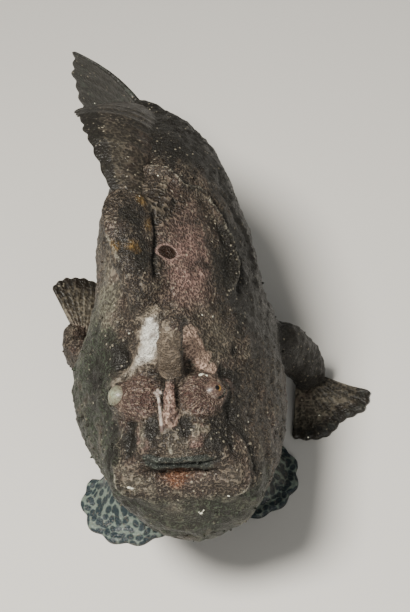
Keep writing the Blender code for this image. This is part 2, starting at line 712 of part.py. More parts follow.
def dorsal_place(u, v):
    """The soft dorsal fin, folded over to the fish's right; lowest over the first ray."""
    y = DORSAL_FRONT + (DORSAL_BACK - DORSAL_FRONT) * u
    root = midline_height(y) - DORSAL_ROOT
    swell_of_edge = 0.25 + 0.75 * math.sin(math.pi * (0.06 + 0.62 * u))
    height = (DORSAL_ROOT + DORSAL_HEIGHT * swell_of_edge) * v
    fold = math.radians(between(DORSAL_FOLD, u)) * (0.45 + 0.55 * v)
    return bend((-height * math.sin(fold), y + height * DORSAL_RAKE, root + height * math.cos(fold)))


def anal_place(u, v):
    """The anal fin, hanging back under the tail stalk."""
    y = ANAL_FRONT + (ANAL_BACK - ANAL_FRONT) * u
    root = midline_height(y, top=False) + ANAL_ROOT
    length = (ANAL_LENGTH * (0.75 + 0.25 * math.sin(math.pi * u)) + ANAL_ROOT) * v
    steep = math.radians(between(ANAL_STEEPNESS, u))
    wave = ANAL_WAVE * math.sin(2.5 * v)
    return bend((wave, y + length * math.cos(steep), root - length * math.sin(steep)))


def tail_place(u, v):
    """The tail fin, spread evenly above and below the middle of the tail stalk."""
    low = BODY_STATIONS[-1][1][1] + TAIL_FIN_FOOT
    high = BODY_STATIONS[-1][0][1] - TAIL_FIN_FOOT
    angle = math.radians(between(TAIL_FIN_ANGLES, u))
    length = (TAIL_FIN_LENGTH * (0.90 + 0.10 * math.sin(math.pi * u)) + TAIL_FIN_FOOT) * v
    return bend((TAIL_FIN_WAVE * math.sin(3.0 * v), TAIL_ROOT - TAIL_FIN_FOOT + length * math.cos(angle),
                 between((low, high), u) + length * math.sin(angle)))


def build_back_fins(fin, clearance):
    for name, rays, rows, place in (("dorsal_fin", DORSAL_RAYS, FIN_ROWS + 1, dorsal_place),
                                    ("anal_fin", ANAL_RAYS, FIN_ROWS, anal_place),
                                    ("caudal_fin", TAIL_RAYS, FIN_ROWS + 2, tail_place)):
        sheet = rayed_sheet(name, rays, rows, place, fin)
        cut(sheet, clearance)


BEND_LINE = bend_line()

for old in list(bpy.data.objects):
    bpy.data.objects.remove(old, do_unlink=True)

body_skin = material("mottled_skin", (0.20, 0.15, 0.15), 0.62)
chin_skin = material("chin_skin", (0.19, 0.17, 0.15), 0.62)
fin_skin = material("fin_skin", (0.07, 0.09, 0.10), 0.6)
eye_finish = material("eye", (0.35, 0.26, 0.18), 0.2)

head_node, body_clearance = build_body(body_skin, chin_skin)
build_eyes(head_node, eye_finish)
build_nostrils(head_node, body_skin)
build_spines(body_skin, body_clearance)
build_hands(body_skin, fin_skin, body_clearance)
build_pelvics(fin_skin, body_clearance)
build_back_fins(fin_skin, body_clearance)
drop(body_clearance)

for node in bpy.data.objects:
    node.data.transform(Matrix.Translation(-Vector(BELLY_REST) * MM))
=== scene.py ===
import math
import random

import bmesh
import bpy
import numpy as np
from mathutils import Matrix, Vector, noise


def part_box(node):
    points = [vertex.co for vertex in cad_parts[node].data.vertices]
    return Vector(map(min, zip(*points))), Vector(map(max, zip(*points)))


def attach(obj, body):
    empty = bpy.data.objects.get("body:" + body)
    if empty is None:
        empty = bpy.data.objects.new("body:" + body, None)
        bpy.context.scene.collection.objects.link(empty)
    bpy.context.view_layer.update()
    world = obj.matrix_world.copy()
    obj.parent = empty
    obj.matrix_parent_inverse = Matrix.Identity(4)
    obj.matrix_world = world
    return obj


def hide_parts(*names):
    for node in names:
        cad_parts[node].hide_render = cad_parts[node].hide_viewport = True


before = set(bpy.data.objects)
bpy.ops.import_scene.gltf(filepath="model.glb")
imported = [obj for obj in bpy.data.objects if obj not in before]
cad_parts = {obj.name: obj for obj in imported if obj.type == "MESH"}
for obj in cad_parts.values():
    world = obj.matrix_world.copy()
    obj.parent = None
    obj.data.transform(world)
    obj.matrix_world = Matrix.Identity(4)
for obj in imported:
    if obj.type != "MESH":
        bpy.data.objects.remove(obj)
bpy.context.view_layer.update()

# Where the fish is looked at from: in front of it, a little to its left and well above,
# with the picture rolled until the fish's length runs straight up it.
MM = 0.001  # sizes below are in millimetres, in the frame's own axes
VIEW_AZIMUTH = math.radians(9.5)
VIEW_ELEVATION = math.radians(49.0)
VIEW_ROLL = math.radians(10.5)
VIEW_TARGET = Vector((0.0, 10.0, 60.0)) * MM
VIEW_DISTANCE = 600.0 * MM
VIEW_SIDE_STEP = -10.4 * MM
VIEW_UP_STEP = -7.6 * MM
VIEW_LENS = 89.7
VIEW_NEAREST = 10.0 * MM
FILM_WIDTH = 36.0
look_back = Vector((math.sin(VIEW_AZIMUTH) * math.cos(VIEW_ELEVATION),
                    -math.cos(VIEW_AZIMUTH) * math.cos(VIEW_ELEVATION),
                    math.sin(VIEW_ELEVATION)))
level_right = Vector((math.cos(VIEW_AZIMUTH), math.sin(VIEW_AZIMUTH), 0.0))
level_up = look_back.cross(level_right)
picture_right = level_right * math.cos(VIEW_ROLL) - level_up * math.sin(VIEW_ROLL)
picture_up = level_right * math.sin(VIEW_ROLL) + level_up * math.cos(VIEW_ROLL)


def placed(name, data):
    """A new object of the scene, unturned and at the origin."""
    made = bpy.data.objects.new(name, data)
    bpy.context.scene.collection.objects.link(made)
    return made


camera_data = bpy.data.cameras.new("picture_camera")
camera_data.sensor_width = FILM_WIDTH
camera_data.lens = VIEW_LENS
camera_data.clip_start = VIEW_NEAREST
camera = placed("picture_camera", camera_data)
eye_point = VIEW_TARGET + look_back * VIEW_DISTANCE
eye_point -= picture_right * VIEW_SIDE_STEP
eye_point -= picture_up * VIEW_UP_STEP
turn = Matrix((picture_right, picture_up, look_back)).transposed().to_4x4()
camera.matrix_world = Matrix.Translation(eye_point) @ turn
bpy.context.scene.camera = camera

# The floor of the studio: one pale matt sheet that the fish rests on, lit by a soft box
# high above it, a broader and weaker one in front on its left, and an even pale sky.
FLOOR_REACH = 1500.0 * MM
FLOOR_COLOUR = (0.62, 0.60, 0.56, 1.0)
SKY_COLOUR = (0.97, 0.98, 0.96, 1.0)
SKY_STRENGTH = 0.22
FLOOR_ROUGHNESS = 0.9
SOFT_BOXES = (
    # name, place, width, power, colour
    ("key_light", (-190.0, -220.0, 790.0), 260.0, 13.6, (1.0, 0.97, 0.91)),
    ("front_light", (260.0, -620.0, 330.0), 420.0, 1.8, (0.98, 0.98, 0.96)),
)


def finished(work, name):
    """The mesh that a bmesh has become, under its name."""
    data = bpy.data.meshes.new(name)
    work.to_mesh(data)
    work.free()
    return data


def new_finish(name, settings):
    """A material, its node tree and its shader, with the shader's even values set."""
    made = bpy.data.materials.new(name)
    made.use_nodes = True
    shader = made.node_tree.nodes["Principled BSDF"]
    for socket, value in settings.items():
        shader.inputs[socket].default_value = value
    return made, made.node_tree, shader


sheet = bmesh.new()
bmesh.ops.create_grid(sheet, x_segments=2, y_segments=2, size=FLOOR_REACH)
floor = placed("studio_floor", finished(sheet, "studio_floor"))
floor.data.materials.append(
    new_finish("pale_floor", {"Base Color": FLOOR_COLOUR, "Roughness": FLOOR_ROUGHNESS})[0])
sky = bpy.data.worlds.new("even_sky")
sky.use_nodes = True
background = sky.node_tree.nodes["Background"]
background.inputs["Color"].default_value = SKY_COLOUR
background.inputs["Strength"].default_value = SKY_STRENGTH
bpy.context.scene.world = sky
for light_name, place, width, power, colour in SOFT_BOXES:
    box = bpy.data.lights.new(light_name, "AREA")
    box.shape = "DISK"
    box.size = width * MM
    box.energy = power
    box.color = colour
    lamp = placed(light_name, box)
    lamp.location = Vector(place) * MM
    lamp.rotation_euler = (Vector(place) * MM - VIEW_TARGET).to_track_quat("Z", "Y").to_euler()

# The skin is one piece over head, jaw, body, tail, arms and the two thick spines.  It is
# drawn over the lengths of flesh of the frame, whose thin cuts close as it is made.
FLESH = ("head", "lower_jaw", "torso", "tail_base", "left_arm", "right_arm", "second_spine", "third_spine")
CUT_CLOSING = 0.35  # each length swells by this, so that neighbours overlap and join
SAME_POINT = 0.002
SKIN_GRID = 1.19
FACE_BACK = -34.0  # the face lies before this line and above this height,
FACE_FOOT = 40.0  # and gets a finer net
BROAD_ROUNDS = 26
FINE_ROUNDS = 5
BAR_ENDS = ((4.4, -49.0, 103.6), (3.9, -66.5, 89.8))
BAR_RADIUS = 2.5
EYE_COVER = 0.9  # flesh over each eyeball, before its opening is made
flesh = bmesh.new()
for name in FLESH:
    length = bmesh.new()
    length.from_mesh(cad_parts[name].data)
    bmesh.ops.remove_doubles(length, verts=length.verts, dist=SAME_POINT * MM)
    length.normal_update()
    for vert in length.verts:
        vert.co += vert.normal * CUT_CLOSING * MM
    swollen = finished(length, name + "_swollen")
    flesh.from_mesh(swollen)
    bpy.data.meshes.remove(swollen)


def standing(point, direction):
    """The move that takes upright things at the origin to a point, along a direction."""
    return Matrix.Translation(point) @ direction.to_track_quat("Z", "Y").to_matrix().to_4x4()


# A thick bar of flesh runs from the second spine down to the snout between the eyes.
bar_top, bar_foot = (Vector(end) * MM for end in BAR_ENDS)
bar = bmesh.ops.create_icosphere(flesh, subdivisions=4, radius=1.0)["verts"]
bar_half = (bar_top - bar_foot).length / 2
bmesh.ops.scale(flesh, vec=(BAR_RADIUS * MM, BAR_RADIUS * MM, bar_half), verts=bar)
bmesh.ops.transform(flesh, matrix=standing((bar_top + bar_foot) / 2, bar_top - bar_foot), verts=bar)
# Flesh is drawn over both eyes, and the openings are sunk into it further down.
for name in ("left_eye", "right_eye"):
    low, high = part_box(name)
    radius = (high.x - low.x) / 2 + EYE_COVER * MM
    cover = bmesh.ops.create_icosphere(flesh, subdivisions=4, radius=radius)["verts"]
    bmesh.ops.translate(flesh, vec=(low + high) / 2, verts=cover)
skin = placed("frogfish_skin", finished(flesh, "frogfish_skin"))
net = skin.modifiers.new("net", "REMESH")
net.mode = "VOXEL"
net.voxel_size = SKIN_GRID * MM
bpy.context.view_layer.update()
netted = skin.evaluated_get(bpy.context.evaluated_depsgraph_get())
netted_data = bpy.data.meshes.new_from_object(netted)
skin.modifiers.clear()
skin.data = netted_data
LIMBS = [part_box(name) for name in ("left_arm", "right_arm", "second_spine", "third_spine")]


def on_limb(point):
    return any(all(low[i] <= point[i] <= high[i] for i in range(3)) for low, high in LIMBS)


def smooth(mesh, verts, rounds):
    for _ in range(rounds):
        bmesh.ops.smooth_vert(mesh, verts=verts, factor=0.5,
                              use_axis_x=True, use_axis_y=True, use_axis_z=True)


work = bmesh.new()
work.from_mesh(skin.data)
smooth(work, [v for v in work.verts if v.co.y > FACE_BACK * MM and not on_limb(v.co)], BROAD_ROUNDS)
face_edges = [e for e in work.edges
              if all(v.co.y < FACE_BACK * MM and v.co.z > FACE_FOOT * MM for v in e.verts)]
bmesh.ops.subdivide_edges(work, edges=face_edges, cuts=1, use_grid_fill=True)
smooth(work, work.verts, FINE_ROUNDS)
work.to_mesh(skin.data)
work.free()

# The forms of the skin: swellings, folds, pits and rims, each set where it grows on the
# body and raised along the skin's own normals.
EYE_DOMES = ((-7.8, -52.6, 97.2), (16.2, -52.2, 96.9))
DOME_RADIUS = 8.8
DOME_HEIGHT = 2
DOME_MOAT = (10, 1.4, 0.35)  # radius, width and depth of the crease round each dome
BROW_BAR = ((4.4, -51, 103.5), (4.2, -55.5, 100), (4, -59.5, 96.6), (3.8, -64, 92.4))
SNOUT_STREAK = ((3.8, -64, 91.8), (4.1, -68.1, 90.5), (4.8, -71.5, 87.1))
SNOUT_BANDS = (((-5.1, -60.5, 92.4), (-5.2, -64.5, 90.8), (-5.4, -69, 87.6)),
               ((13, -61, 92.2), (12.9, -65, 90.8), (12.8, -69.5, 87.8)))
UPPER_LIP = ((-7.5, -70.3, 86.2), (0, -72, 86), (6, -72.4, 86), (13, -72.2, 86),
             (21, -70.8, 85.8))
LOWER_LIP = ((-5, -72.3, 81.6), (1, -72.6, 81.4), (8, -72.6, 81.4), (16, -71.8, 81.6),
             (20, -70.8, 82))
MOUTH_SLIT = ((-6.5, -71.3, 84.5), (-0.1, -72.4, 84.2), (5.1, -72.4, 84.1), (10.3, -72.5, 84),
              (16, -72.4, 84.1), (21.5, -71.2, 84.5))
RIGHT_JAW_RIM = ((-11.6, -57.5, 93.2), (-12.2, -59.5, 89.6), (-13.8, -62.3, 85.8), (-16.9, -63.6, 82),
                 (-17.4, -66.6, 79.6), (-16, -70.5, 78.2), (-16.2, -72.6, 75.5), (-14.8, -74.6, 73),
                 (-12.1, -75.6, 72), (-8.5, -76.5, 71.8))
LEFT_JAW_RIM = ((24, -55.3, 87), (24.9, -60.3, 84.9), (29.2, -64.4, 80.1), (29.8, -68.6, 78.7),
                (30.3, -71.9, 76.5), (30, -74.3, 73.8), (28.3, -75.6, 71.8), (25.8, -76.3, 71.2),
                (22, -77.2, 71.4))
RIGHT_BROW_LIMB = ((3.6, -23.9, 110.4), (0.8, -27.7, 109.6), (-0.8, -32.2, 107.4), (-2.4, -36.5, 104.6),
                   (-5.6, -40, 101.3), (-9.8, -42.3, 98.3), (-14.4, -44.1, 95.8), (-17.5, -46.5, 93.5))
LEFT_BROW_LIMB = ((9.3, -31.3, 105.5), (11.5, -34.1, 102.6), (13.3, -37.6, 99.5), (16.3, -40.1, 96.8),
                  (18.9, -41.8, 94.7))
FLANK_FOLD = ((-14.8, 35.9, 126.7), (-5.4, 36.1, 122.1), (3.9, 32.7, 119.8), (8.4, 29.4, 117),
              (13.8, 31.5, 111.3), (16.8, 27.3, 108.1), (19.6, 24.5, 104.2), (22.6, 18.1, 99.8),
              (24.3, 12.1, 97.3), (25.4, 8.3, 95.9), (25.4, -0.5, 96.2), (24, -7.8, 98.1))
OUTER_FOLD = ((18.5, 44.3, 102), (25, 40.2, 89), (29.2, 30, 79.4), (32.3, 10.5, 77.8))
THIRD_SPINE_LINE = ((-5.6, 14, 129), (-8.6, 0.4, 128.6), (-7.8, -9.1, 125.7), (-6.3, -18.5, 120.2))
THIRD_SPINE_RIDGE = ((-15.8, 0.4, 130.8), (-15.3, -5.2, 128.4), (-13.3, -9.5, 126.7), (-11, -13.6, 124.1),
                     (-8.1, -18.5, 120.4), (-5.6, -22.9, 116.6), (-4.2, -25.7, 113.2))
THIRD_SPINE_CRACK = ((-1.5, 12, 122), (-0.8, 3.8, 120.5), (-0.4, -3.2, 119.6), (-0.2, -9.4, 119),
                     (-0.3, -16.5, 117.4))
SNOUT_SIDES = (((-10, -58.8, 93), (-10.6, -63, 89.5), (-11.5, -68, 86), (-12.5, -70.5, 83)),
               ((18.5, -59.5, 92.5), (24.3, -63.5, 86.5), (25, -67, 84), (24, -70, 82.5)))
CHEEK_CREASES = (((-16.8, -56, 89), (-19, -60.5, 84), (-20.2, -65, 79.5), (-19.4, -70.5, 75.5)),
                 ((23.4, -53.5, 88.5), (26.5, -58.2, 83.6), (31.5, -62, 79), (33, -67, 76),
                  (32.6, -72, 72.5)))
BUMPS = (
    # centre, reach, height
    ((4, -66, 89), (13, 6, 5), 0.9),  # pad of the snout
    ((-12.3, -73.2, 77.8), (4.6, 4, 5.5), 1.7),  # right corner lobe
    ((24, -73.5, 77.8), (4.6, 4, 5.5), 1.7),  # left corner lobe
    ((26, -46, 86), (7, 8, 8), 1),  # left cheek
    ((4, -77.5, 69), (10, 4, 6), 0.8),  # fullness of the chin
    ((-19, -24, 100.2), (5, 5, 5), 0.6),  # right nape
    ((28.5, -20.3, 89.9), (5, 5, 5), 0.8),  # left nape
    ((-13.4, -37.2, 98.4), (3.4, 6.5, 4), -2.6),  # hollow behind the right eye
    ((22.1, -40, 92), (2, 2, 2), -1.6),  # pit behind the left eye
    ((24.3, -55.4, 86.5), (1.8, 3, 2), -1.2),  # crease before the left cheek
    ((9.3, -27.6, 106.6), (1.6, 1.8, 1.8), -1.8),  # pit behind the second spine
    ((26.1, -28.6, 91.1), (0.9, 1.3, 1.1), -0.8),  # dark pore on the nape
    ((3.9, -3.4, 117.1), (3, 2.6, 2.6), -0.8),  # hollow of the eye-spot
    ((5.8, 20.3, 119), (1.4, 2.6, 1.8), -0.9),  # pit behind the eye-spot
    ((-9.4, -66.4, 87.4), (0.9, 0.9, 0.9), -1),  # right nostril
    ((23, -65.1, 85.8), (0.9, 0.9, 0.9), -1),  # left nostril
)
FOLDS = (
    # points, half width, height
    (SNOUT_STREAK, 0.9, 0.6),
    (SNOUT_BANDS[0], 1.9, 1.1),
    (SNOUT_BANDS[1], 1.9, 1.1),
    (UPPER_LIP, 1.1, 1.1),
    (LOWER_LIP, 1.3, 0.9),
    (RIGHT_JAW_RIM[:5], 0.8, 0.8),
    (RIGHT_JAW_RIM[4:], 0.8, 1.2),
    (LEFT_JAW_RIM[:5], 0.8, 0.5),
    (LEFT_JAW_RIM[4:], 0.8, 1.2),
    (RIGHT_BROW_LIMB, 2.6, 1.3),
    (LEFT_BROW_LIMB, 2.6, 1.2),
    (((-17.3, -29.4, 99.3), (-17, -33.7, 97.2), (-16.3, -37.9, 95.5)), 0.8, 0.8),  # right temple
    (((-13.4, -23.9, 105.3), (-12.2, -27, 104.9), (-11, -29.9, 104.5)), 0.8, 0.7),  # above it
    (FLANK_FOLD, 1.6, 2.7),
    (OUTER_FOLD, 2, 1.3),
    (THIRD_SPINE_LINE, 4.6, 1.3),
    (THIRD_SPINE_RIDGE, 0.9, 0.8),
    (((9, -11, 112), (14, -14, 108), (18, -20, 103)), 1.2, 0.7),  # across the left nape
    (((31, -24, 84), (36.5, -18, 70), (38.5, -16, 52), (36, -20, 32)), 2.2, 1),  # before the left arm
    (((-33, -24, 84), (-37.5, -18, 70), (-38.5, -16, 52), (-36, -20, 32)), 2.2, 1),  # before the right arm
    (((-11, -75.5, 65), (-5.5, -78, 63.5), (4, -79.6, 62.5), (13, -79.2, 63.5),
      (20, -77, 66)), 0.8, 0.45),  # folds under the chin
    (((-9, -75.5, 57), (-3, -78.6, 56), (6, -79.8, 55.5), (15, -78.5, 57)), 0.8, 0.45),
    (((-8, -74, 50), (-2, -77.6, 49), (6, -78.6, 48.5), (14, -77, 50)), 0.9, 0.45),
)
GROOVES = (
    # points, half width, depth
    (MOUTH_SLIT, 0.65, 2.1),
    (((-5.5, -71.8, 79.6), (0.8, -71.6, 78.9), (8.9, -71.8, 78.8),
      (17.5, -70.8, 79.4)), 0.8, 0.6),  # under the lower lip
    (THIRD_SPINE_CRACK, 1.1, 2),
    (((6, 37.5, 118), (14, 35, 110.5), (20, 30.5, 104.5), (24.8, 21, 97.5), (27, 11, 93.5),
      (27.6, -1, 93.5), (26.5, -9, 95)), 1.8, 1.4),  # along the outside of the flank's fold
    (SNOUT_SIDES[0], 1.1, 0.9),
    (SNOUT_SIDES[1], 1.1, 0.9),
    (CHEEK_CREASES[0], 1.2, 1),
    (CHEEK_CREASES[1], 1.2, 1),
)
LUMPS = ((14, 1), (6, 0.75), (2.5, 0.34))  # size and height of the skin's unevenness
WRINKLE_SIZE = (7, 1.6, 2.4)  # the wrinkles run from side to side
WRINKLE_HEIGHT = 0.6
PEBBLE_SIZE = 2.9  # of the round cells into which parts of the back are divided
PEBBLE_HEIGHT = 0.5
PEBBLY = (((0, 17, 121), (9, 9, 7)), ((-17, -2, 108), (6, 15, 9)))
BAR_WIDTH = 3
PLAIN_BELOW = 3  # the skin that lies on the floor has no relief
PATH_STEPS = 24
LINE_STEPS = 8
LINE_FADE = 0.12  # share of a line over which each end of it fades
LINE_END = 0.25  # how much is left at its very end


def path_points(points, steps=PATH_STEPS):
    """Even steps along a smooth line through the given points."""
    values = np.array(points, float)
    last = len(values) - 1
    result = []
    for t in np.linspace(0.0, last, steps * last + 1):
        i = min(int(t), last - 1)
        f = t - i
        p1 = values[i]
        p2 = values[i + 1]
        p0 = values[i - 1] if i > 0 else 2 * p1 - p2
        p3 = values[i + 2] if i + 2 <= last else 2 * p2 - p1
        result.append(0.5 * (2 * p1 + (p2 - p0) * f + (2 * p0 - 5 * p1 + 4 * p2 - p3) * f ** 2
                             + (3 * p1 - p0 - 3 * p2 + p3) * f ** 3))
    return np.array(result)


def step(values, low, high):
    """0 below low, 1 above high, smooth between."""
    t = np.clip((values - low) / (high - low), 0.0, 1.0)
    return t * t * (3.0 - 2.0 * t)


def near_spot(places, centre, reach):
    """1 at a centre, falling to 0 over the reach along x, y and z."""
    offset = (places - np.array(centre)) / np.array(reach)
    return np.exp(-np.sum(offset ** 2, axis=1))


def near_path(places, points, width):
    """1 on a line, falling to 0 over the width, and fading at both ends."""
    line = path_points(points, LINE_STEPS)
    result = np.zeros(len(places))
    low = line.min(axis=0) - 3.0 * width
    high = line.max(axis=0) + 3.0 * width
    close = np.nonzero(np.all((places > low) & (places < high), axis=1))[0]
    best = np.full(len(close), np.inf)
    where = np.zeros(len(close))
    for i in range(len(line) - 1):
        start = line[i]
        run = line[i + 1] - start
        along = np.clip((places[close] - start) @ run / (run @ run), 0.0, 1.0)
        gap = np.sum((places[close] - start - along[:, None] * run) ** 2, axis=1)
        closer = gap < best
        best[closer] = gap[closer]
        where[closer] = (i + along[closer]) / (len(line) - 1)
    ends = np.clip(np.minimum(where, 1 - where) / LINE_FADE, 0.0, 1.0)
    result[close] = np.exp(-best / width ** 2) * (LINE_END + (1.0 - LINE_END) * ends)
    return result


def spots_at(places, rows):
    """The sum of some spots, each as strong or as high as its row says."""
    return sum(strength * near_spot(places, centre, reach) for centre, reach, strength in rows)


def lines_at(places, rows):
    """The sum of some lines, each as strong or as high as its row says."""
    return sum(strength * near_path(places, points, width) for points, width, strength in rows)


def away_from(places, centre):
    return np.linalg.norm(places - np.array(centre), axis=1)


def skin_places(data):
    places = np.zeros(len(data.vertices) * 3)
    data.vertices.foreach_get("co", places)
    return places.reshape(-1, 3) / MM


def bumpiness(places, size):
    return np.array([noise.noise(Vector(place)) for place in places / np.array(size)])


places = skin_places(skin.data)
normals = np.array([v.normal for v in skin.data.vertices])
rise = spots_at(places, BUMPS) + lines_at(places, FOLDS) - lines_at(places, GROOVES)
off_bar = 1.0 - near_path(places, BROW_BAR, BAR_WIDTH)
for centre in EYE_DOMES:
    far = away_from(places, centre)
    rise += DOME_HEIGHT * np.clip(1.0 - (far / DOME_RADIUS) ** 2, 0.0, 1.0) ** 0.85
    rise -= DOME_MOAT[2] * np.exp(-((far - DOME_MOAT[0]) / DOME_MOAT[1]) ** 2) * off_bar
lumps = [height * bumpiness(places, size) for size, height in LUMPS]
rise += sum(lumps)
hollow = -sum(lumps[1:])
rise += WRINKLE_HEIGHT * bumpiness(places, WRINKLE_SIZE)
pebbly = sum(near_spot(places, *spot) for spot in PEBBLY)
for i in np.nonzero(pebbly > 0.05)[0]:
    nearest = noise.voronoi(Vector(places[i]) / PEBBLE_SIZE)[0][0]
    rise[i] += PEBBLE_HEIGHT * pebbly[i] * (0.5 - nearest)
rise[places[:, 2] < PLAIN_BELOW] = 0.0
moved = places + normals * rise[:, None]

# The skin's opening round each eye: a low rim that stands just over the eyeball and sinks
# beneath it inside.  A frogfish has no lids; beyond the rim the skin covers the ball.
EYE_AXES = {"left_eye": (0.47, -0.21, 0.857), "right_eye": (-0.56, -0.25, 0.79)}
LID_ANGLE = 47.0  # from the eye's axis, in degrees
LID_RISE = 0.55
LID_SINK = 1.2
LID_SLOPE = 7.0  # degrees over which the rim drops under the ball
LID_BLEND = 20.0  # degrees over which the rim runs into the cheek
BALL_COVER = 0.4  # the least skin over the ball beyond the rim
LID_REACH = 5.0  # skin farther than this from the ball stays as it is
FLOOR_GAP = 0.05  # the belly lies this far over the floor
EYES = {}
for name, axis in EYE_AXES.items():
    low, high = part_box(name)
    middle = np.array((low + high) / 2) / MM
    ball_radius = (high.x - low.x) / 2 / MM
    axis = np.array(axis) / np.linalg.norm(axis)
    EYES[name] = (middle, ball_radius, axis)
    away = moved - middle
    far = np.linalg.norm(away, axis=1)
    angle = np.degrees(np.arccos(np.clip(away @ axis / far, -1.0, 1.0)))
    lid = ball_radius - LID_SINK + (LID_SINK + LID_RISE) * step(angle, LID_ANGLE - LID_SLOPE, LID_ANGLE)
    beyond = step(angle, LID_ANGLE, LID_ANGLE + LID_BLEND)
    wanted = lid * (1.0 - beyond) + far * beyond
    wanted = np.where(angle > LID_ANGLE, np.maximum(wanted, ball_radius + BALL_COVER), wanted)
    wanted = np.where(far < ball_radius + LID_REACH, wanted, far)
    moved = middle + away * (wanted / far)[:, None]
moved[:, 2] = np.maximum(moved[:, 2], FLOOR_GAP)
skin.data.vertices.foreach_set("co", (moved * MM).ravel())
skin.data.update()

# Warts and small flaps of skin stand on the cheeks, the back and the jaw's edge: blunt
# buds of the same flesh, scattered by a seeded draw and joined to the skin.
WART_COUNT = 230
WART_SIZES = (0.3, 0.62)
WART_STANDS = (0.7, 1.7)  # how tall, against how thick
WART_TAPER = 0.28
WARTS_ABOVE = 18.0
WARTS_BEFORE = 60.0
BARE_ROUND_EYE = 3.0
FLAPS = ((-37.1, -28.4, 66.1), (-33, -37.9, 67.9), (-30.5, -43, 69), (-36.5, -20, 74),
         (-24, -55, 68), (36.5, -45, 66), (33.5, -58, 66), (-15.6, 12, 128),
         (28, -62, 78), (-19, -62, 81))
FLAP_SIZE = 0.75
draw = random.Random(11)
warts = bmesh.new()
upper = [i for i in range(len(moved)) if moved[i][2] > WARTS_ABOVE and moved[i][1] < WARTS_BEFORE]
sites = [(i, draw.uniform(*WART_SIZES)) for i in draw.sample(upper, WART_COUNT)]
sites += [(int(np.argmin(away_from(moved, flap))), FLAP_SIZE) for flap in FLAPS]
for i, size in sites:
    if any(np.linalg.norm(moved[i] - middle) < ball_radius + BARE_ROUND_EYE
           for middle, ball_radius, _ in EYES.values()):
        continue
    bud = bmesh.ops.create_icosphere(warts, subdivisions=2, radius=size * MM)["verts"]
    stand = draw.uniform(*WART_STANDS)
    for vert in bud:
        taper = 1.0 - WART_TAPER * vert.co.z / (size * MM)
        vert.co = Vector((vert.co.x * taper, vert.co.y * taper, vert.co.z * stand))
    place = standing(Vector(moved[i]) * MM, skin.data.vertices[i].normal)
    bmesh.ops.transform(warts, matrix=place, verts=bud)
unmoved = np.vstack((np.array([v.co / MM for v in warts.verts]), places))
hollow = np.concatenate((np.zeros(len(warts.verts)), hollow))
warts.from_mesh(skin.data)
warts.to_mesh(skin.data)
warts.free()
skin.data.shade_smooth()

# Where the skin's colours and its painted shade and highlights lie: each marking is a soft-edged
# field over the skin, worked out from its own place on the body and read by the finish below.
SECOND_SPINE_LINE = ((4.6, -47.5, 101), (5.6, -45, 110), (6.3, -42, 122))
EYE_SPOT = ((3.9, -3.4, 117.1), (3.9, 3, 3))
SKULL_MIDDLE_X = 4
# painted shade in the small hollows of the skin, and painted light on its small swellings
RELIEF_SHADE_AND_LIGHT = 0.45
STREAK_DRAW = 0.035  # the streaks are long outwards and narrow across
MUSTARD_SPOTS = (
    ((-5.3, 13.4, 126.7), (3.4, 5, 3), 0.9),
    ((-2.6, 3.3, 123.9), (2.8, 5.5, 2.6), 0.85),
    ((-13.7, -8.2, 127.4), (2.6, 3.6, 2.6), 0.7),
    ((-6.5, -8.4, 126), (5.2, 3.4, 3), 0.8),
    ((4.6, -48.5, 104.5), (1.2, 1.6, 2.2), 0.9),
)
PALE_FLECKS = (
    # points, width
    # a white bead on the left eye's dome, and a painted highlight curving away from it
    (((13.9, -45.2, 97.1), (14.6, -45.2, 97.1), (15.2, -45.1, 97.2)), 0.75),
    (((15, -45, 97.3), (16.6, -45.2, 97.5), (17.9, -46.8, 97.1)), 0.4),
    (((-12.6, -74.5, 75.7), (-10.1, -74.9, 75.1), (-7.8, -75.3, 74.8)), 0.5),
    (((11, -79.8, 65), (12, -79.8, 64), (12.3, -79.8, 63.2)), 0.5),
    (((12, -79.8, 64), (12.9, -79.7, 65), (13.2, -79.6, 65.6)), 0.35),
    (((-11, -29.9, 104.5), (-9.6, -29.6, 105.5), (-8.6, -29, 106)), 0.4),
    (((19.2, -70.9, 79.2), (19.6, -71, 78.8), (20, -71.1, 78.4)), 0.5),
    (((21.9, -77, 71.3), (22.4, -77, 71.1), (22.9, -76.9, 70.9)), 0.5),
)
PINK_SPOTS = (
    ((11.5, -5, 113), (9.5, 17, 12), 1.15),
    ((8, 20, 116), (10, 16, 9), 0.25),
    ((24, -42.5, 91), (3.5, 4.5, 5), 0.9),
    ((18, -22, 101), (6, 6, 6), 0.15),
)
PALE_SPOTS = (
    ((-21, -10, 107), (8, 20, 12), 1),
    ((-12.3, -73.2, 77.8), (4, 4, 5), 0.8),
    ((24, -73.5, 77.8), (4, 4, 5), 0.65),
    ((4, -64, 90.5), (12, 7, 5), 0.45),
    ((4, -79, 64), (15, 7, 10), 0.55),
    ((-5.1, -64, 91), (2.2, 4.5, 3), 0.7),
    ((13, -64.3, 91), (2.2, 4.5, 3), 0.7),
    ((0, -29, 109), (8, 8, 5), 0.6),
    ((-17, -50, 92), (4, 6, 5), 0.5),
)
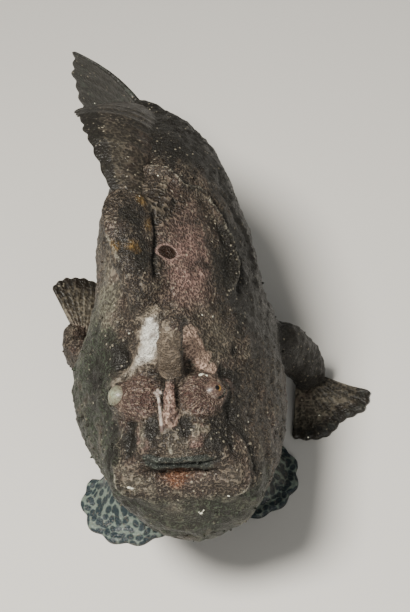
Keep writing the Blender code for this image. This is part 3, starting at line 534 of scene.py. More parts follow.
# dark skin on the snout and round the nostrils, and painted shade: in the nostrils, the hollow and pits
# behind the eyes, the crease before the left cheek, the pits behind the second spine and the eye-spot, the
# pore on the nape, on the cheeks, along the left flank and beside the third spine
DARK_AND_SHADE_SPOTS = (
    ((-13.9, -36.5, 98.2), (4, 8, 5), 1.5),
    ((25, -47, 85), (5, 13, 10), 0.75),
    ((-24, -38, 90), (7, 18, 16), 0.6),
    ((25, 8, 100), (8, 20, 12), 0.9),
    ((22.1, -40, 92), (3, 3, 3), 1),
    ((24.3, -55.4, 86.5), (2.2, 3.2, 2.2), 0.8),
    ((9.3, -27.6, 106.6), (2.4, 2.4, 2.4), 1.3),
    ((26.1, -28.6, 91.1), (1.2, 1.6, 1.4), 1.3),
    ((5.8, 20.3, 119), (1.8, 3.2, 2.2), 1),
    ((-1.6, -62.9, 91.6), (2.7, 3.4, 3), 2),
    ((9, -63.3, 91.6), (3, 3.4, 3), 2),
    ((20.5, -64.6, 88), (4.2, 4.4, 3.8), 1.6),
    ((-10.5, -65.4, 87.4), (3.4, 3.6, 3.4), 1.6),
    ((30, -8, 88), (7, 16, 9), 0.6),
    ((-3.5, -4, 122), (3, 16, 4), 0.5),
)
# painted shade: in the third spine's crack, the mouth's slit, beyond the flank's fold and along the cheek
# and snout creases
SHADE_LINES = (
    # points, width, strength
    (THIRD_SPINE_CRACK, 1.5, 1.2),
    (MOUTH_SLIT, 1.2, 1.3),
    (np.array(FLANK_FOLD[2:]) + np.array((3.2, 1.5, -3.4)), 2.8, 0.7),
    *((crease, 1.8, 0.6) for crease in CHEEK_CREASES + SNOUT_SIDES),
    *((crease, 4.5, 0.5) for crease in CHEEK_CREASES),
)
# pale lines on the crests of the jaw rims, the third spine's ridge and the snout streak, and a painted
# highlight along the flank's fold
RIM_AND_HIGHLIGHT_LINES = (
    (RIGHT_JAW_RIM[4:], 0.55, 0.8),
    (LEFT_JAW_RIM[4:], 0.55, 0.8),
    (RIGHT_JAW_RIM[:5], 0.6, 0.55),
    (LEFT_JAW_RIM[:5], 0.7, 0.3),
    (FLANK_FOLD, 0.8, 0.75),
    (THIRD_SPINE_RIDGE, 0.8, 0.55),
    (SNOUT_STREAK, 0.8, 0.6),
)
SADDLE_LINES = ((RIGHT_BROW_LIMB[1:4], 4.8, 0.95), (RIGHT_BROW_LIMB[3:], 3.6, 0.62))
SADDLE_SPOTS = (((1.5, -31.5, 108.5), (7.5, 6.5, 5.5), 0.8), ((-2, -38, 102.5), (6, 5, 4), 0.5))
SPINE_TIP = ((5.6, -43.5, 122.5), (3.6, 3, 3.2), 0.75)
OUTER_LIMB = np.array(LEFT_BROW_LIMB) + np.array((0.9, 0, 0))
SALMON_LINES = ((OUTER_LIMB[:4], 3.9, 1.4), (OUTER_LIMB[3:], 2.8, 0.8))
ORANGE_SPOTS = (((4.8, -73.5, 76.2), (3.2, 4, 3.2), 0.75), ((5, -73, 77.9), (12.5, 4, 2.6), 0.6))
CELL_SPOTS = (*(spot + (1,) for spot in PEBBLY), ((4, -62, 92), (17, 9, 7), 0.5))


def markings(places):
    """How much of each marking lies at each place."""
    x, y, z = places.T
    spine = step(near_path(places, SECOND_SPINE_LINE, 5.5), 0.35, 0.6)
    bar = step(near_path(places, BROW_BAR, 3.2), 0.2, 0.7)
    off_eyes = [away_from(places, centre) for centre in EYE_DOMES]
    domes = sum(step(DOME_RADIUS + 1.2 - far, 0.0, 3.4) for far in off_eyes)
    moats = sum(np.exp(-((far - DOME_MOAT[0]) / 1.2) ** 2) for far in off_eyes)
    third = step(near_path(places, THIRD_SPINE_LINE, 6.5), 0.3, 0.7)
    lobes = spots_at(places, PALE_SPOTS[1:3])
    # pink keeps to the fish's left of the third spine
    pink = spots_at(places, PINK_SPOTS) * step(x, -2.5, 1.5) + 1.1 * bar + 0.25 * domes
    pink += lines_at(places, [(band, 2.4, 1.5) for band in SNOUT_BANDS])
    # green lies on the right cheek and the chin
    green = 1.3 * step(-x, 10.0, 23.0) * step(-y, -10.0, 20.0)
    green += step(-z, -76.0, -66.0) * step(-y, 56.0, 68.0)
    # painted shade: the left flank, the tail end and the belly are darkened, and so is the crease round each
    # dome; the third spine's own skin is dark
    dark = spots_at(places, DARK_AND_SHADE_SPOTS) + lines_at(places, SHADE_LINES)
    dark += 1.1 * step(x, 19.0, 30.0) * step(y, -26.0, -2.0) + 1.1 * step(y, 32.0, 54.0)
    dark += 0.4 * moats * (1.0 - bar) + 0.6 * third + 0.5 * step(-z, -40.0, -18.0)
    saddle = lines_at(places, SADDLE_LINES) + spots_at(places, SADDLE_SPOTS)
    lips = step(near_path(places, LOWER_LIP, 2.4), 0.25, 0.7)
    lips += step(near_path(places, UPPER_LIP, 1.8), 0.25, 0.7)
    lips += step(near_path(places, MOUTH_SLIT, 1.8), 0.2, 0.5)
    lips *= 0.35 + 0.65 * step(15.5 - np.abs(x - 4.2), 0.0, 6.0)
    return {
        "saddle": saddle * (1.0 - spine) + spots_at(places, [SPINE_TIP]),
        "salmon": (0.42 * bar + lines_at(places, SALMON_LINES)) * (1.0 - spine),
        "orange": spots_at(places, ORANGE_SPOTS),
        "lips": lips,
        "pink": pink,
        "green": green,
        "pale": spots_at(places, PALE_SPOTS),
        "dark": dark,
        "cells": spots_at(places, CELL_SPOTS) + 0.5 * (lobes > 0.2),
        "eyespot": near_spot(places, *EYE_SPOT),
        "mustard": spots_at(places, MUSTARD_SPOTS),
        "rims": lines_at(places, RIM_AND_HIGHLIGHT_LINES),
        "spine": spine,
        "flecked": sum(near_path(places, points, width) for points, width in PALE_FLECKS),
        "streaked": domes * (1.0 - bar) * (1.0 - spine),
    }


def keep(data, name, values, kind="FLOAT"):
    """Values for every vertex, or vectors, kept with a mesh for its material to read."""
    made = data.attributes.new(name, kind, "POINT")
    made.data.foreach_set("value" if kind == "FLOAT" else "vector", np.ravel(values).astype(np.float32))


def keep_fields(data, fields):
    for name, values in fields.items():
        keep(data, name, np.clip(values, 0.0, 1.0))


fields = markings(unmoved)
# painted shade in the hollows of the skin's unevenness, painted light on its swellings
fields["dark"] += RELIEF_SHADE_AND_LIGHT * step(hollow, 0.05, 0.42)
fields["pale"] += RELIEF_SHADE_AND_LIGHT * step(-hollow, 0.08, 0.45)
keep_fields(skin.data, fields)
places = skin_places(skin.data)
# Streaks fan out round each eye: two numbers give the direction, and one the distance.
round_eye = np.zeros((len(places), 3))
left_side = places[:, 0] > SKULL_MIDDLE_X
for on_side, (middle, _, axis) in zip((left_side, ~left_side), EYES.values()):
    away = places[on_side] - middle
    flat = away - (away @ axis)[:, None] * axis
    spread = np.linalg.norm(flat, axis=1, keepdims=True)
    side = np.cross(axis, (0.0, 0.0, 1.0))
    side /= np.linalg.norm(side)
    flat = flat / np.maximum(spread, 0.01)
    fanned = (flat @ side, flat @ np.cross(axis, side), spread[:, 0] * STREAK_DRAW)
    round_eye[on_side] = np.stack(fanned, axis=1)
keep(skin.data, "round_eye", round_eye, "FLOAT_VECTOR")

# The finish of the skin: a dark brown-grey ground that goes pinkish on the back and
# greenish on the right, under a pale net whose meshes hold round dark dots.
GROUND = (0.037, 0.0275, 0.020, 1.0)
PINKISH = (0.19, 0.112, 0.094, 1.0)
GREENISH = (0.022, 0.028, 0.017, 1.0)
PALE_WASH = (0.165, 0.148, 0.108, 1.0)
DARK = (0.010, 0.0095, 0.007, 1.0)
DOT_COLOUR = (0.012, 0.009, 0.007, 1.0)
NET_COLOUR = (0.195, 0.157, 0.112, 1.0)
GREEN_NET = (0.078, 0.100, 0.062, 1.0)
SADDLE_COLOUR = (0.68, 0.67, 0.60, 1.0)
SADDLE_STAIN = (0.12, 0.09, 0.07, 1.0)
SADDLE_CREAM = (0.33, 0.27, 0.20, 1.0)
SALMON_COLOUR = (0.60, 0.41, 0.31, 1.0)
ORANGE_COLOUR = (0.135, 0.052, 0.023, 1.0)
LIP_COLOUR = (0.020, 0.024, 0.020, 1.0)
LIP_SPECK = (0.13, 0.15, 0.12, 1.0)
MUSTARD_COLOUR = (0.15, 0.085, 0.018, 1.0)
EYESPOT_COLOUR = (0.018, 0.009, 0.005, 1.0)
RIM_COLOUR = (0.24, 0.22, 0.17, 1.0)
SPINE_COLOUR = (0.105, 0.080, 0.057, 1.0)
STREAK_CREAM = (0.24, 0.17, 0.125, 1.0)
STREAK_RED = (0.075, 0.038, 0.031, 1.0)
TEAL_DARK = (0.016, 0.026, 0.030, 1.0)
TEAL_PALE = (0.125, 0.155, 0.128, 1.0)
FLECK_AND_GLINT_COLOUR = (0.78, 0.76, 0.62, 1.0)
SPECK_COLOUR = (0.26, 0.23, 0.17, 1.0)
EYESPOT_RING = (0.19, 0.125, 0.105, 1.0)
SKIN_IOR = 1.38
WARP_SCALE = 320.0
WARP_SHIFT = 0.0012
NET_SCALES = (1250.0, 760.0, 430.0)  # meshes to a metre: fine, middling, coarse
SKIN_RELIEF = (0.0018, 0.9)  # depth in metres, and strength


def node(tree, kind, inputs=(), **settings):
    """A shader node with its settings, fed by numbers or by other nodes' outputs."""
    made = tree.nodes.new("ShaderNode" + kind)
    for key, value in settings.items():
        setattr(made, key, value)
    for socket, value in dict(inputs).items():
        if isinstance(value, bpy.types.NodeSocket):
            tree.links.new(value, made.inputs[socket])
        else:
            made.inputs[socket].default_value = value
    return made


def tree_of(*values):
    """The node tree of the first of the values that is a node's output."""
    return next(value.id_data for value in values if isinstance(value, bpy.types.NodeSocket))


def over(share, under, top):
    """One colour laid over another by a share from 0 to 1."""
    inputs = {0: share, 6: under, 7: top}
    return node(tree_of(share, under, top), "Mix", inputs, data_type="RGBA").outputs[2]


def edge(value, low, high, start=0.0, end=1.0):
    """A smooth step of a value from low to high."""
    inputs = {"Value": value, "From Min": low, "From Max": high, "To Min": start, "To Max": end}
    made = node(value.id_data, "MapRange", inputs, interpolation_type="SMOOTHSTEP")
    return made.outputs["Result"]


def sums(kind, first, *others):
    """The first value multiplied, added and so on with each of the others in turn."""
    for other in others:
        first = node(tree_of(first, other), "Math", {0: first, 1: other}, operation=kind).outputs[0]
    return first


def times(*values):
    return sums("MULTIPLY", *values)


def grain(place, scale, detail=3.0, roughness=0.55):
    inputs = {"Vector": place, "Scale": scale, "Detail": detail, "Roughness": roughness}
    return node(place.id_data, "TexNoise", inputs).outputs[0]


def attribute(tree, name, output="Fac"):
    return node(tree, "Attribute", attribute_name=name).outputs[output]


MARKINGS = ("saddle", "salmon", "orange", "lips", "pink", "green", "pale", "dark", "cells", "eyespot",
            "mustard", "rims", "spine", "flecked", "streaked", "teal")
camouflage = bpy.data.node_groups.new("camouflage", "ShaderNodeTree")
sockets = [("Place", "INPUT", "Vector")]
sockets += [(name, "INPUT", "Float") for name in ("Streaks", "Ovals") + MARKINGS]
sockets += [("Colour", "OUTPUT", "Color"), ("Height", "OUTPUT", "Float"), ("Roughness", "OUTPUT", "Float")]
for name, way, kind in sockets:
    camouflage.interface.new_socket(name, in_out=way, socket_type="NodeSocket" + kind)
given = camouflage.nodes.new("NodeGroupInput").outputs
place = given["Place"]
warp = node(camouflage, "TexNoise", {"Vector": place, "Scale": WARP_SCALE, "Detail": 2.0})
warp = node(camouflage, "VectorMath", {0: warp.outputs["Color"], 1: (0.5, 0.5, 0.5)},
            operation="SUBTRACT")
warp = node(camouflage, "VectorMath", {0: warp.outputs[0], "Scale": WARP_SHIFT}, operation="SCALE")
wavy = node(camouflage, "VectorMath", {0: place, 1: warp.outputs[0]}, operation="ADD").outputs[0]
clouds = grain(place, 34.0, 3.0, 0.55)
broad_grain = grain(place, 70.0, 4.0, 0.62)
mid_grain = grain(wavy, 230.0, 4.0, 0.62)
fine_grain = grain(wavy, 900.0, 2.0, 0.6)


def cells(where, scale, randomness=1.0):
    inputs = {"Vector": where, "Scale": scale, "Randomness": randomness}
    return node(camouflage, "TexVoronoi", inputs).outputs


def scattered(where, scale, sizes, chances, most=1.0):
    """Small dots in some of the cells: how far out they reach, and how many cells have one."""
    outputs = cells(where, scale)
    return times(edge(outputs["Distance"], *sizes), edge(outputs["Color"], *chances, 0.0, most))


def ragged(value, low, high, amount):
    """A marking's edge, broken up by the grain."""
    shaken = times(sums("SUBTRACT", mid_grain, 0.5), edge(value, 0.0, 0.15), amount)
    return edge(sums("ADD", value, shaken), low, high)


nets = [cells(wavy, scale, 0.85)["Distance"] for scale in NET_SCALES]
mesh = nets[0]
for coarser, low, high in ((nets[1], 0.15, 0.35), (nets[2], 0.55, 0.75)):
    inputs = {0: edge(given["cells"], low, high), 2: mesh, 3: coarser}
    mesh = node(camouflage, "Mix", inputs).outputs[0]
# The ground's large colours come first, then clouds and grain, then the markings over them.
colour = GROUND
for marking, low, high, amount, top in (
        ("pink", 0.15, 1.0, 0.8, PINKISH),
        ("green", 0.1, 0.9, 0.6, GREENISH),
        ("pale", 0.15, 1.0, 0.7, PALE_WASH)):
    colour = over(ragged(given[marking], low, high, amount), colour, top)
for speckle, low, high, most, top in (
        (broad_grain, 0.50, 0.70, 0.3, PINKISH),
        (broad_grain, 0.50, 0.32, 0.65, DARK),
        (mid_grain, 0.46, 0.30, 0.55, DARK),
        (clouds, 0.50, 0.36, 0.55, DARK),
        (clouds, 0.54, 0.68, 0.35, PALE_WASH)):
    colour = over(edge(speckle, low, high, 0.0, most), colour, top)
lip_skin = over(edge(fine_grain, 0.56, 0.68, 0.0, 0.7), LIP_COLOUR, LIP_SPECK)
for marking, low, high, amount, top in (
        ("spine", 0.3, 0.8, 0.2, SPINE_COLOUR),
        ("dark", 0.15, 1.0, 0.7, DARK),
        ("salmon", 0.2, 0.85, 1.4, SALMON_COLOUR),
        ("orange", 0.25, 0.95, 0.7, ORANGE_COLOUR),
        ("mustard", 0.35, 1.0, 1.0, MUSTARD_COLOUR),
        ("lips", 0.35, 0.9, 0.9, lip_skin)):
    colour = over(ragged(given[marking], low, high, amount), colour, top)
streaks = over(edge(given["Streaks"], 0.42, 0.455), STREAK_CREAM, DOT_COLOUR)
streaks = over(edge(given["Streaks"], 0.50, 0.53), streaks, STREAK_RED)
streak_share = times(given["streaked"], 0.75)
colour = over(streak_share, colour, streaks)
white = over(edge(given["saddle"], 0.45, 1.1), SADDLE_CREAM, SADDLE_COLOUR)
white = over(edge(mid_grain, 0.52, 0.36, 0.0, 0.75), white, SADDLE_STAIN)
white = over(edge(fine_grain, 0.52, 0.40, 0.0, 0.4), white, SADDLE_STAIN)
saddle_share = ragged(given["saddle"], 0.2, 0.95, 2.0)
colour = over(saddle_share, colour, white)
# The net and its dots are weak where the skin is plain or has a pattern of its own.
dots = times(edge(mesh, 0.66, 0.40), edge(fine_grain, 0.3, 0.6, 0.45, 1.0))
calm = sums("MAXIMUM", times(saddle_share, 0.75), streak_share, given["teal"], times(given["lips"], 0.8),
            times(given["spine"], 0.5))
calm = sums("SUBTRACT", 1.0, times(calm, 0.8))
net_share = times(edge(mesh, 0.50, 0.72, 0.0, 0.38), calm, edge(mid_grain, 0.36, 0.62, 0.25, 1.0),
                  edge(given["dark"], 0.2, 1.0, 1.0, 0.15))
colour = over(net_share, colour, over(edge(given["green"], 0.2, 0.9), NET_COLOUR, GREEN_NET))
colour = over(times(dots, 0.75, calm), colour, DOT_COLOUR)
specks = scattered(wavy, 560.0, (0.30, 0.16), (0.58, 0.66), 0.85)
colour = over(times(specks, edge(broad_grain, 0.40, 0.60, 0.15, 1.0), calm), colour, SPECK_COLOUR)
teal_ground = over(given["Ovals"], TEAL_PALE, TEAL_DARK)
teal_ground = over(edge(fine_grain, 0.52, 0.72, 0.0, 0.3), teal_ground, NET_COLOUR)
colour = over(ragged(given["teal"], 0.2, 0.9, 0.6), colour, teal_ground)
# pale rims, and the painted highlight along the flank's fold
colour = over(ragged(given["rims"], 0.3, 0.8, 1.3), colour, RIM_COLOUR)
colour = over(edge(given["eyespot"], 0.20, 0.30, 0.0, 0.85), colour, EYESPOT_RING)
colour = over(edge(given["eyespot"], 0.35, 0.43), colour, EYESPOT_COLOUR)
# small white flecks over the skin: pale grains of it, and painted glints of light on them
flecks_and_glints = scattered(place, 190.0, (0.085, 0.05), (0.76, 0.80))
flecks_and_glints = sums("MAXIMUM", flecks_and_glints, edge(given["flecked"], 0.3, 0.6))
colour = over(flecks_and_glints, colour, FLECK_AND_GLINT_COLOUR)
height = sums("ADD", times(mid_grain, 0.9), times(fine_grain, 0.2))
height = sums("SUBTRACT", height, times(dots, 0.30))
height = sums("ADD", height, times(flecks_and_glints, 0.4))
result = camouflage.nodes.new("NodeGroupOutput")
rough = edge(mid_grain, 0.3, 0.7, 0.38, 0.6)
for socket, value in (("Colour", colour), ("Height", height), ("Roughness", rough)):
    camouflage.links.new(value, result.inputs[socket])


def coated(shader, colour, rough, height, depth, strength):
    """Leads a colour, a roughness and a relief to a shader."""
    bump = node(shader.id_data, "Bump", {"Height": height, "Distance": depth, "Strength": strength})
    for socket, value in (("Base Color", colour), ("Roughness", rough), ("Normal", bump.outputs["Normal"])):
        shader.id_data.links.new(value, shader.inputs[socket])


def camouflaged(name, markings, relief, socket, pattern):
    """A material that reads the markings kept with a mesh, and feeds one socket a pattern."""
    made, tree, shader = new_finish(name, {"IOR": SKIN_IOR})
    inputs = {marking: attribute(tree, marking) for marking in markings}
    inputs["Place"] = node(tree, "TexCoord").outputs["Object"]
    inputs[socket] = pattern(tree)
    group = node(tree, "Group", node_tree=camouflage)
    for key, value in inputs.items():
        tree.links.new(value, group.inputs[key])
    coated(shader, *(group.outputs[key] for key in ("Colour", "Roughness", "Height")), *relief)
    return made


def fanned_streaks(tree):
    return grain(attribute(tree, "round_eye", "Vector"), 21.0, 3.0, 0.6)


skin.data.materials.clear()
skin.data.materials.append(camouflaged("mottled_skin", MARKINGS, SKIN_RELIEF, "Streaks", fanned_streaks))
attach(skin, "root")
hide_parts(*FLESH)

# The eyes are balls with a weak shine, set under the rims of skin.  A small dark pupil has a
# gold crescent beside it, and red-brown and cream streaks run outwards as on the skin.
PUPIL_ANGLE = 9.0  # degrees from the eye's axis to the edge of each ring
GOLD_ANGLE = 15.0
TICK_ANGLE = 34.0
CORNEA_RISE = 0.35
BALL_SHADE = 0.3
PUPIL_COLOUR = (0.004, 0.004, 0.005, 1.0)
GOLD_COLOUR = (0.27, 0.15, 0.035, 1.0)
# a whitish painted sheen on the right eye's cornea, standing for the reflection of the light
CORNEA_SHEEN_COLOUR = (0.25, 0.28, 0.19, 1.0)
TICK_DARK = (0.005, 0.005, 0.004, 1.0)
TICK_PALE = (0.36, 0.34, 0.26, 1.0)
CORNEA_ANGLE = 22.0
CORNEA_SHEEN_ANGLE = 38.0
CORNEA_SHEEN_MOST = 0.95
EYE_SHINE = {"IOR": 1.42, "Specular IOR Level": 0.3, "Roughness": 0.45, "Coat Weight": 0.12,
             "Coat Roughness": 0.12}
eye_finish, tree, shader = new_finish("streaked_eye", EYE_SHINE)
off_pupil = attribute(tree, "off_pupil")
around = attribute(tree, "around", "Vector")
rays = grain(around, 12.0, 2.0, 0.6)
ball = over(edge(rays, 0.43, 0.47), STREAK_CREAM, DOT_COLOUR)
ball = over(edge(rays, 0.49, 0.52), ball, STREAK_RED)
ball = over(BALL_SHADE, ball, DOT_COLOUR)
ticks = grain(around, 6.0, 0.0, 0.5)
tick_line = times(edge(ticks, 0.475, 0.495), edge(ticks, 0.555, 0.535))
tick_share = times(edge(off_pupil, TICK_ANGLE - 1.5, TICK_ANGLE + 1.5),
                   edge(attribute(tree, "outward"), -0.1, 0.4, 0.2, 1.0))
ball = over(tick_share, ball, over(tick_line, TICK_DARK, TICK_PALE))
gold_share = times(edge(off_pupil, GOLD_ANGLE + 2.0, GOLD_ANGLE - 2.0), attribute(tree, "gilt"))
ball = over(gold_share, ball, GOLD_COLOUR)
ball = over(edge(off_pupil, PUPIL_ANGLE + 1.0, PUPIL_ANGLE - 1.0), ball, PUPIL_COLOUR)
mottle = grain(node(tree, "TexCoord").outputs["Object"], 900.0, 3.0, 0.65)
# the painted sheen on the right eye's cornea, broken by a mottle
ball = over(times(attribute(tree, "cornea_sheen"), edge(mottle, 0.38, 0.6, 0.98, 0.45)), ball, CORNEA_SHEEN_COLOUR)
tree.links.new(ball, shader.inputs["Base Color"])
for name, (middle, ball_radius, axis) in EYES.items():
    radius = ball_radius * MM
    place = standing(Vector(middle) * MM, Vector(axis))
    outer = place.to_3x3().inverted() @ Vector((1.0 if name == "left_eye" else -1.0, 0.0, 0.1))
    outer = outer.to_2d().normalized()
    work = bmesh.new()
    bmesh.ops.create_uvsphere(work, u_segments=64, v_segments=48, radius=1.0)
    kept = {"off_pupil": [], "gilt": [], "cornea_sheen": [], "outward": []}
    round_axis = []
    for vert in work.verts:
        angle = math.degrees(math.acos(max(-1.0, min(1.0, vert.co.z))))
        flat = vert.co.to_2d()
        flat = flat.normalized() if flat.length > 1e-4 else Vector((1.0, 0.0))
        outward = flat.dot(outer)
        kept["off_pupil"].append(angle)
        kept["outward"].append(outward)
        kept["gilt"].append(max(0.0, min(1.0, 1.7 * outward - 0.5)))
        kept["cornea_sheen"].append(CORNEA_SHEEN_MOST * math.exp(-(angle / CORNEA_SHEEN_ANGLE) ** 2) if name == "right_eye" else 0.0)
        round_axis.append((flat.x, flat.y, angle * 0.01))
        vert.co *= 1.0 + CORNEA_RISE * MM / radius * math.exp(-(angle / CORNEA_ANGLE) ** 2)
    bmesh.ops.transform(work, matrix=place @ Matrix.Scale(radius, 4), verts=work.verts)
    eye = placed("streaked_" + name, finished(work, "streaked_" + name))
    for key, values in kept.items():
        keep(eye.data, key, values)
    keep(eye.data, "around", round_axis, "FLOAT_VECTOR")
    eye.data.materials.append(eye_finish)
    eye.data.shade_smooth()
    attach(eye, "root")
    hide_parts(name)

# The lure is a thin bristle on the snout, folded back between the eyes, with a pale tuft
# of flesh at its tip.
LURE_ROUTE = ((1.7, -66.0, 87.5), (1.6, -64.8, 92.9), (1.3, -60.5, 96.9), (0.9, -55.7, 100.3))
LURE_RADII = (1.25, 0.8, 0.62, 0.55)
LURE_TUFT = (0.7, -55.0, 100.8)
LURE_TUFT_RADIUS = 1.05
LURE_KNOBS = (
    # place in the tuft, size
    ((0.0, 0.0, 0.0), 1.0),
    ((1.0, 0.6, 0.5), 0.62),
    ((-1.1, 0.9, 0.2), 0.58),
    ((0.1, 1.3, 0.8), 0.66),
    ((0.4, -0.6, 0.9), 0.5),
)
LURE_SIDES = 14
LURE_PALE = (0.33, 0.28, 0.24, 1.0)
LURE_DARK = (0.09, 0.06, 0.05, 1.0)
LURE_SOFTNESS = {"Subsurface Weight": 0.15, "Subsurface Scale": 0.0015}


def draw_tube(mesh, route, radii, sides):
    """A round tube drawn along a smooth route by extruding one ring from step to step."""
    line = path_points(route)
    girth = path_points([(r, 0.0, 0.0) for r in radii])[:, 0]
    ahead = np.gradient(line, axis=0)
    ring = bmesh.ops.create_circle(mesh, cap_ends=True, segments=sides, radius=1.0)["verts"]
    edges = list({e for v in ring for e in v.link_edges})
    flat = [v.co.copy() for v in ring]
    for i, point in enumerate(line):
        across = Vector(ahead[i]).to_track_quat("Z", "Y").to_matrix()
        if i:
            grown = bmesh.ops.extrude_edge_only(mesh, edges=edges)["geom"]
            ring = [g for g in grown if isinstance(g, bmesh.types.BMVert)]
            edges = [g for g in grown if isinstance(g, bmesh.types.BMEdge)]
            middle = sum((v.co for v in ring), Vector()) / len(ring)
            flat = [turned.inverted() @ (v.co - middle) / old for v in ring]
        size = float(girth[i])
        for vert, place_on_ring in zip(ring, flat):
            vert.co = Vector(point) * MM + across @ place_on_ring * size * MM
        turned = across
        old = size * MM
    bmesh.ops.contextual_create(mesh, geom=edges)


work = bmesh.new()
draw_tube(work, LURE_ROUTE, LURE_RADII, LURE_SIDES)
for offset, size in LURE_KNOBS:
    knob = bmesh.ops.create_icosphere(work, subdivisions=3, radius=LURE_TUFT_RADIUS * size * MM)["verts"]
    for vert in knob:
        vert.co *= 1.0 + 0.22 * noise.noise(vert.co * 1400.0)
    bmesh.ops.translate(work, vec=(Vector(LURE_TUFT) + Vector(offset)) * MM, verts=knob)
bmesh.ops.recalc_face_normals(work, faces=work.faces)
lure = placed("folded_lure", finished(work, "folded_lure"))
lure_finish, tree, shader = new_finish("lure_flesh", LURE_SOFTNESS)
blotches = grain(node(tree, "TexCoord").outputs["Object"], 420.0)
coated(shader, over(edge(blotches, 0.42, 0.6), LURE_PALE, LURE_DARK), edge(blotches, 0.3, 0.7, 0.4, 0.6),
       blotches, 0.0006, 0.6)
lure.data.materials.append(lure_finish)
lure.data.shade_smooth()
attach(lure, "root")
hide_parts("lure_spine")

# The fins are thick skin over soft rays: hands and pelvic fins like feet, a folded dorsal
# fin, an anal fin and the tail fin, all rooted in the flesh.
FISH_BACK = 80.0  # the belly rest lies this far behind the foremost line of the fish
BACK_LINE = ((100.0, 122.3), (123.0, 120.5), (143.0, 114.0), (161.0, 104.5), (177.0, 95.0), (191.0, 88.0),
             (203.0, 86.0))
BELLY_LINE = ((143.0, 14.0), (161.0, 26.0), (177.0, 36.0), (191.0, 43.0), (203.0, 45.0))
FLEX_START = 110.0
FLEX_END = 203.0
FLEX_ANGLE = 42.0
FIN_CURL = 14.0
FIN_CURL_LENGTH = 43.0
LEAN_SLOPE = 0.045
LEAN_FROM = 40.0
LEAN_FULL = 110.0
LEAN_LEVEL = 48.0
ROOT_DEPTH = 4.0  # the rays start this deep in the flesh
DORSAL_START = 100.0
DORSAL_LENGTH = 89.0
DORSAL_HEIGHT = 30.0
DORSAL_FOLD = 66.0  # degrees that it lies over to the right
DORSAL_RAKE = 0.25
ANAL_START = 150.0
ANAL_LENGTH = 38.0
ANAL_REACH = 24.0
ANAL_STEEPNESS = 34.0
TAIL_START = 199.0
TAIL_FOOT = 49.0
TAIL_HEIGHT = 33.0
TAIL_REACH = 43.0
TAIL_FAN = (-24.0, 13.0)
EDGE_OVERRUN = 0.16  # how far the skin reaches past the first and last ray, in ray gaps
COLUMNS_PER_GAP = 12
FIN_ROWS = 44
FIN_WANDER = 0.03  # how unevenly the rays end
FIN_RIM = 0.06  # share of the length over which the edge is rounded
TOE_HEIGHT = 1.2
SOLE_BELOW = 1.3  # skin of a planted fin below this height is pressed flat,
SOLE_HEIGHT = 0.1  # to this one
FIN_LUMPS = 0.35
FIN_LUMP_SIZE = 3.2
FIN_RELIEF = (0.0009, 0.7)


def bend(y):
    """How far the fish is turned to its right at a distance along it."""
    body = min(max((y - FLEX_START) / (FLEX_END - FLEX_START), 0.0), 1.0)
    tail = min(max((y - FLEX_END) / FIN_CURL_LENGTH, 0.0), 1.0)
    return math.radians(FLEX_ANGLE * body ** 2.5 + FIN_CURL * tail)


def flexed(point):
    """A point of the straight fish, moved to where it is on the flexed one."""
    x, y, z = point
    x -= LEAN_SLOPE * step(y, LEAN_FROM, LEAN_FULL) * (z - LEAN_LEVEL)
    length = max(y - FLEX_START, 0.0)
    middle = np.array((0.0, min(y, FLEX_START)))
    steps = max(int(length), 1)
    for i in range(steps):
        turn = bend(FLEX_START + length * (i + 0.5) / steps)
        middle += np.array((-math.sin(turn), math.cos(turn))) * length / steps
    turn = bend(y)
    return np.array((middle[0] + x * math.cos(turn), middle[1] + x * math.sin(turn) - FISH_BACK, z))


def fan(wrist, ahead, aside, angles, inner, reach, edge_reach, dent=0.0, dent_at=0.5):
    """Rays that fan out from a wrist, as (u, v) to a point, shortest where the dent is."""
    def place(u, v):
        angle = math.radians(angles[0] + (angles[1] - angles[0]) * u)
        swing = np.array(ahead) * math.cos(angle) + np.array(aside) * math.sin(angle)
        arch = max(math.sin(math.pi * min(max(u, 0.0), 1.0)), 0.0) ** 0.7
        length = reach * (edge_reach + (1.0 - edge_reach) * arch)
        length *= 1.0 - dent * math.exp(-((u - dent_at) / 0.16) ** 2)
        return np.array(wrist) + swing * (inner + (length - inner) * v)
    return place


def planted(place, wrist_height):
    """A fan whose root is raised and whose toes lie on the floor."""
    def lowered(u, v):
        point = place(u, v)
        point[2] = wrist_height + (TOE_HEIGHT - wrist_height) * step(1.3 * v, 0.0, 1.0)
        return point
    return lowered


def dorsal_place(u, v):
    y = DORSAL_START + DORSAL_LENGTH * u
    foot = float(np.interp(y, *zip(*BACK_LINE))) - ROOT_DEPTH
    height = (ROOT_DEPTH + DORSAL_HEIGHT * (0.25 + 0.75 * math.sin(math.pi * (0.06 + 0.62 * u)))) * v
    fold = math.radians(DORSAL_FOLD + 6.0 * u) * (0.45 + 0.55 * v)
    return flexed((-height * math.sin(fold), y + height * DORSAL_RAKE, foot + height * math.cos(fold)))


def anal_place(u, v):
    y = ANAL_START + ANAL_LENGTH * u
    foot = float(np.interp(y, *zip(*BELLY_LINE))) + ROOT_DEPTH
    length = (ANAL_REACH * (0.75 + 0.25 * math.sin(math.pi * u)) + ROOT_DEPTH) * v
    steep = math.radians(ANAL_STEEPNESS - 10.0 * u)
    return flexed((1.5 * math.sin(2.5 * v), y + length * math.cos(steep), foot - length * math.sin(steep)))


def tail_place(u, v):
    angle = math.radians(TAIL_FAN[0] + (TAIL_FAN[1] - TAIL_FAN[0]) * u)
    length = (TAIL_REACH * (0.90 + 0.10 * math.sin(math.pi * u)) + ROOT_DEPTH) * v
    end = (TAIL_START + length * math.cos(angle), TAIL_FOOT + TAIL_HEIGHT * u + length * math.sin(angle))
    return flexed((2.0 * math.sin(3.0 * v), *end))


def waves(values):
    """1 at whole numbers, which are the rays, and 0 midway between them."""
    return 0.5 + 0.5 * np.cos(2 * math.pi * values)


